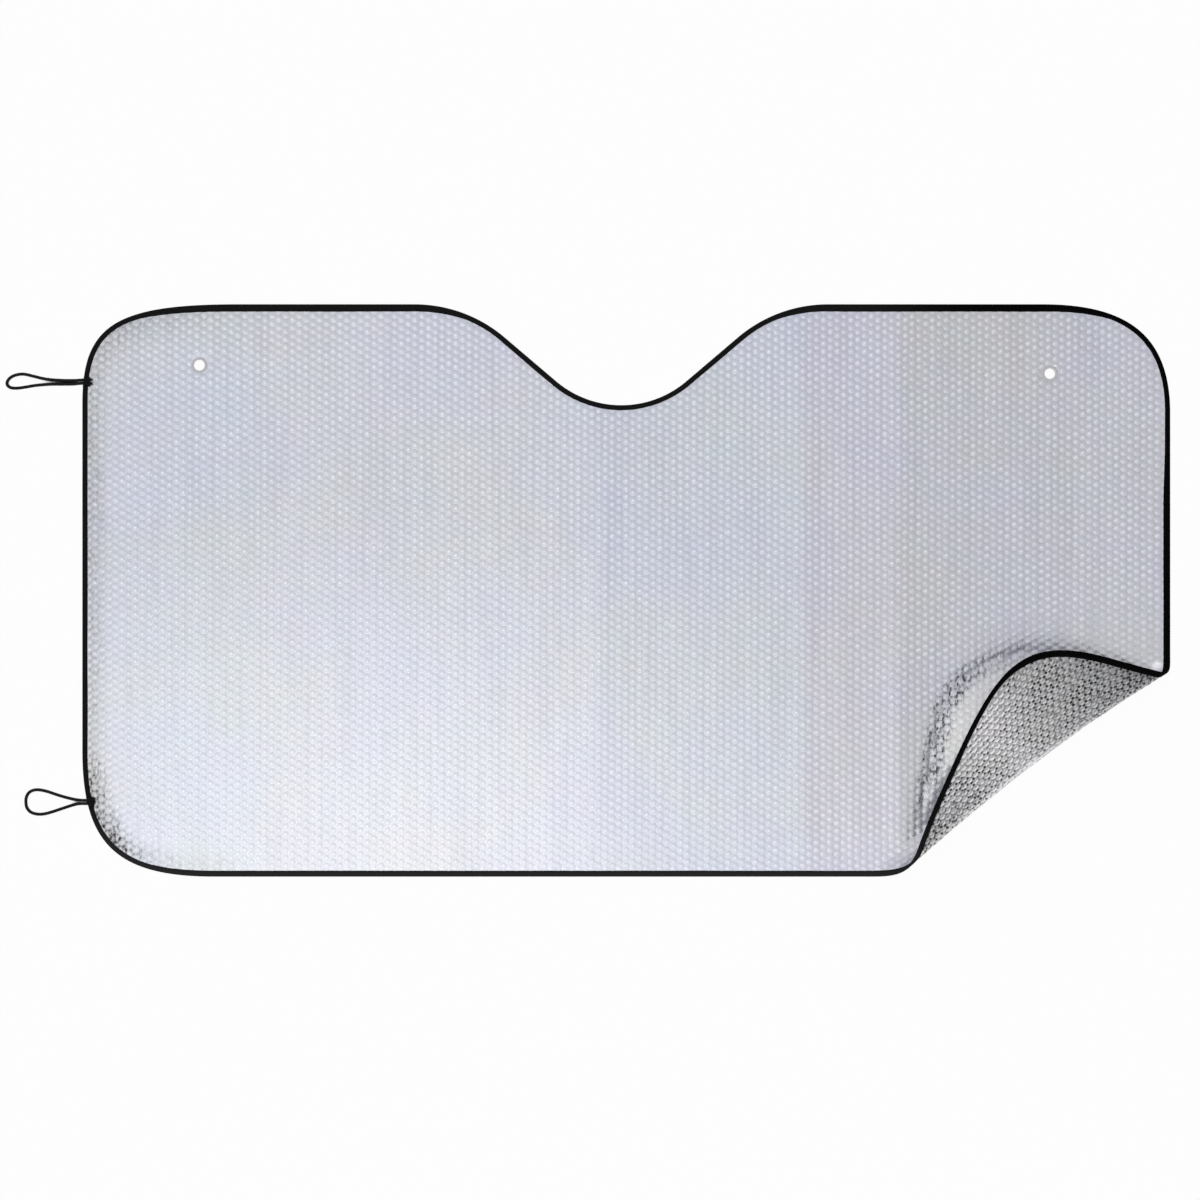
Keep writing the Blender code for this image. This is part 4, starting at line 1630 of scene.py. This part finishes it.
def staple_path(half_flat, radius, foot):
    """Line over both cords from foot to foot, dipping between them, in the upright plane across the cords."""
    angles = np.linspace(math.pi, math.pi / 2, TACK_ARCH_POINTS)
    left = np.column_stack([-half_flat + radius * np.cos(angles), radius * np.sin(angles)])
    dip = np.array([[0.0, radius - TACK_DIP]])
    right = left[::-1] * (-1, 1)
    out = left[0, 0] - TACK_FOOT
    ends = np.array([[out, foot], [out + TACK_FOOT / 2, foot]])
    return np.vstack([ends, left, dip, right, ends[::-1] * (-1, 1)])


def loop_bartack(name, route, from_edge, finish):
    """Close parallel threads over the two ends of a loop, pulled down on the tape at both sides."""
    loops = bpy.context.scene.shade_loops
    binding = bpy.context.scene.shade_binding
    rng = np.random.default_rng(SEED + len(name))
    middle_y = (route[0][1] + route[-1][1]) / 2
    cord_height = route[0][2] - TACK_SINK
    tape_top = SHEET_MIDDLE + binding.inner_radius + binding.thickness
    reach = loops.cord_diameter / 2 + TACK_ABOVE_CORD
    line = staple_path(loops.leg_spacing / 2, reach, tape_top - cord_height)
    path = smooth_route([(0.0, *point) for point in line], TACK_PATH_STEP)
    even, _, _ = bound_edge()
    beside = even[np.abs(even[:, 1] - middle_y) < EDGE_STEP]
    start_x = beside[:, 0].min() + from_edge - loops.tack_length / 2
    spacing = loops.tack_length / (TACK_THREADS - 1)

    def thread_radius(at, angle, length):
        return np.full(len(at), TACK_THREAD_FULLNESS * spacing)

    bm = bmesh.new()
    for i in range(TACK_THREADS):
        mesh, along, angle, place, way, radius = bent_tube(
            name, path, TACK_STEPS, TACK_THREAD_SIDES, thread_radius
        )
        side, up = across_frame(way, (1, 0, 0))
        around = side * np.cos(angle)[:, None] + up * np.sin(angle)[:, None]
        place = place + around * radius[:, None]
        lean = rng.normal(0, TACK_LEAN)
        place[:, 0] += start_x + i * spacing + lean * (along - 0.5)
        place[:, 1] += middle_y
        place[:, 2] += cord_height + rng.normal(0, TACK_UNEVEN)
        set_places(mesh, place)
        close_seams(mesh)
        bm.from_mesh(mesh)
        bpy.data.meshes.remove(mesh)
    return finished(name, mesh_from(bm, name), finish)


class SHADE_OT_bartacks(Operator):
    """Make the stitches that hold the ends of the loops"""

    bl_idname = "shade.bartacks"
    bl_label = "Loop bar tacks"

    def execute(self, context):
        colour = context.scene.shade_binding.thread_colour
        thread = thread_material("tack_thread", colour, TACK_THREAD_ROUGHNESS)
        for name, route, from_edge in (
            ("upper_tack", UPPER_LOOP_ROUTE, UPPER_TACK_FROM_EDGE),
            ("lower_tack", LOWER_LOOP_ROUTE, LOWER_TACK_FROM_EDGE),
        ):
            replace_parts(loop_bartack(name, route, from_edge, thread), name.replace("tack", "loop_bartack"))
        return {"FINISHED"}


class SHADE_OT_studio(Operator):
    """Make the floor, the lights and the camera"""

    bl_idname = "shade.studio"
    bl_label = "Studio"

    def execute(self, context):
        studio = context.scene.shade_studio
        make_floor(studio)
        make_world(context.scene, studio)
        make_softbox(studio)
        camera = bpy.data.objects.new("camera", bpy.data.cameras.new("camera"))
        camera.data.sensor_width = 36.0
        camera.data.lens = camera.data.sensor_width * studio.camera_height / studio.view_width
        camera.location = (*studio.view_centre, studio.camera_height)
        context.scene.collection.objects.link(camera)
        context.scene.camera = camera
        context.scene.view_settings.view_transform = "Standard"
        return {"FINISHED"}


# Floor
FLOOR_GLOW = 0.95
FLOOR_ROUGHNESS = 0.9
FLOOR_DROP = 0.2 * MM
GAP_REACH = 6 * MM
GAP_SAMPLES = 16
GAP_OPENING = (0.25, 0.56)
FLOOR_COLOUR = (0.92, 0.92, 0.92)
GAP_PAINTED_SHADE_COLOUR = (0.02, 0.02, 0.02)


def make_floor(studio):
    """A pale floor that shows white to the camera and in reflections, and keeps the shadow in narrow gaps,
    where its colour also holds painted shade.
    """
    bm = bmesh.new()
    bmesh.ops.create_grid(bm, x_segments=1, y_segments=1, size=studio.floor_width / 2)
    bmesh.ops.translate(bm, verts=bm.verts, vec=(0, 0, -FLOOR_DROP))
    floor = bpy.data.objects.new("floor", mesh_from(bm, "floor"))
    made, tree, shader = new_material("pale_floor")
    path = add(tree, "ShaderNodeLightPath").outputs
    seen = maths(tree, "MAXIMUM", path["Is Camera Ray"], path["Is Glossy Ray"])
    seen = maths(tree, "MAXIMUM", seen, path["Is Transmission Ray"])
    glow = add(tree, "ShaderNodeEmission", {"Color": opaque((1.0, 1.0, 1.0)), "Strength": 1.0})
    sky = add(tree, "ShaderNodeAmbientOcclusion", {"Distance": GAP_REACH}, samples=GAP_SAMPLES)
    lit_gap = ramp(tree, sky.outputs["AO"], *GAP_OPENING)
    # Painted shade in the floor's colour in narrow gaps
    colour = mix_colour(tree, lit_gap, opaque(GAP_PAINTED_SHADE_COLOUR), opaque(FLOOR_COLOUR))
    finish = {"Base Color": colour, "Roughness": FLOOR_ROUGHNESS, "Specular IOR Level": 0.0}
    connect(tree, shader, finish)
    share = times(tree, seen, lit_gap, FLOOR_GLOW)
    both = add(tree, "ShaderNodeMixShader", {0: share, 1: shader.outputs[0], 2: glow.outputs[0]})
    tree.links.new(both.outputs[0], tree.nodes["Material Output"].inputs["Surface"])
    floor.data.materials.append(made)
    bpy.context.scene.collection.objects.link(floor)


# Light all round: the sides that it is brightest from, and over how much of the sky it changes
KEY_SIDE = (-0.55, -0.83, 0.0)
KEY_SPREAD = 0.30
KEY_RANGE = (0.92, 1.10)
SKY_HEIGHTS = (0.10, 0.75)
PALE_SIDE = (-0.70, 0.70, 0.15)
PALE_SPREAD = (0.30, 0.75)


def make_world(scene, studio):
    """Soft light all round, brightest overhead and at the lower left, with a pale wall at the upper left."""
    world = bpy.data.worlds.new("studio")
    world.use_nodes = True
    tree = world.node_tree
    direction = add(tree, "ShaderNodeTexCoord").outputs["Generated"]
    height = add(tree, "ShaderNodeSeparateXYZ", {0: direction}).outputs["Z"]
    overhead = ramp(tree, height, *SKY_HEIGHTS)
    pale = ramp(tree, vectors(tree, "DOT_PRODUCT", direction, PALE_SIDE), *PALE_SPREAD)
    lit = maths(tree, "MAXIMUM", overhead, pale)
    colour = mix_colour(tree, lit, opaque(studio.sky_side), opaque(studio.sky_top))
    toward_key = vectors(tree, "DOT_PRODUCT", direction, KEY_SIDE)
    strength = ramp(tree, toward_key, -KEY_SPREAD, KEY_SPREAD, *KEY_RANGE)
    connect(tree, tree.nodes["Background"], {"Color": colour, "Strength": strength})
    scene.world = world


# Lamp
SOFTBOX_WIDTH = 1.7
SOFTBOX_PLACE = Vector((-0.80, -1.00, 9.0))
SOFTBOX_AIM = Vector((-0.15, -0.1, 0))


def make_softbox(studio):
    """A large soft lamp over the lower left of the shade."""
    light = bpy.data.lights.new("softbox", "AREA")
    light.shape = "SQUARE"
    light.size = SOFTBOX_WIDTH
    light.energy = studio.softbox_light * math.pi * SOFTBOX_WIDTH**2
    lamp = bpy.data.objects.new("softbox", light)
    lamp.location = SOFTBOX_PLACE
    lamp.rotation_euler = (SOFTBOX_AIM - SOFTBOX_PLACE).to_track_quat("-Z", "Y").to_euler()
    bpy.context.scene.collection.objects.link(lamp)


class SHADE_PT_panel(Panel):
    """Lists the pieces of the shade and their sizes"""

    bl_label = "Windscreen Shade"
    bl_idname = "SHADE_PT_panel"
    bl_space_type = "VIEW_3D"
    bl_region_type = "UI"
    bl_category = "Shade"

    def draw(self, context):
        for operator in OPERATORS:
            self.layout.operator(operator.bl_idname)
        for name, group in GROUPS.items():
            box = self.layout.box()
            box.label(text=group.__name__)
            for key in group.__annotations__:
                box.prop(getattr(context.scene, name), key)


GROUPS = {
    "shade_outline": ShadeOutline,
    "shade_roll": ShadeRoll,
    "shade_foil": ShadeFoil,
    "shade_binding": ShadeBinding,
    "shade_loops": ShadeLoops,
    "shade_studio": ShadeStudio,
}
OPERATORS = (
    SHADE_OT_studio,
    SHADE_OT_loops,
    SHADE_OT_bartacks,
    SHADE_OT_films,
    SHADE_OT_cup_rims,
    SHADE_OT_binding,
    SHADE_OT_seams,
)


def register():
    for item in (*GROUPS.values(), *OPERATORS, SHADE_PT_panel):
        bpy.utils.register_class(item)
    for name, group in GROUPS.items():
        setattr(bpy.types.Scene, name, PointerProperty(type=group))


def unregister():
    for name in GROUPS:
        delattr(bpy.types.Scene, name)
    for item in reversed((*GROUPS.values(), *OPERATORS, SHADE_PT_panel)):
        bpy.utils.unregister_class(item)


def main():
    register()
    bpy.ops.shade.studio()
    bpy.ops.shade.loops()
    bpy.ops.shade.bartacks()
    bpy.ops.shade.films()
    bpy.ops.shade.cup_rims()
    bpy.ops.shade.binding()
    bpy.ops.shade.seams()


if __name__ == "__main__":
    main()
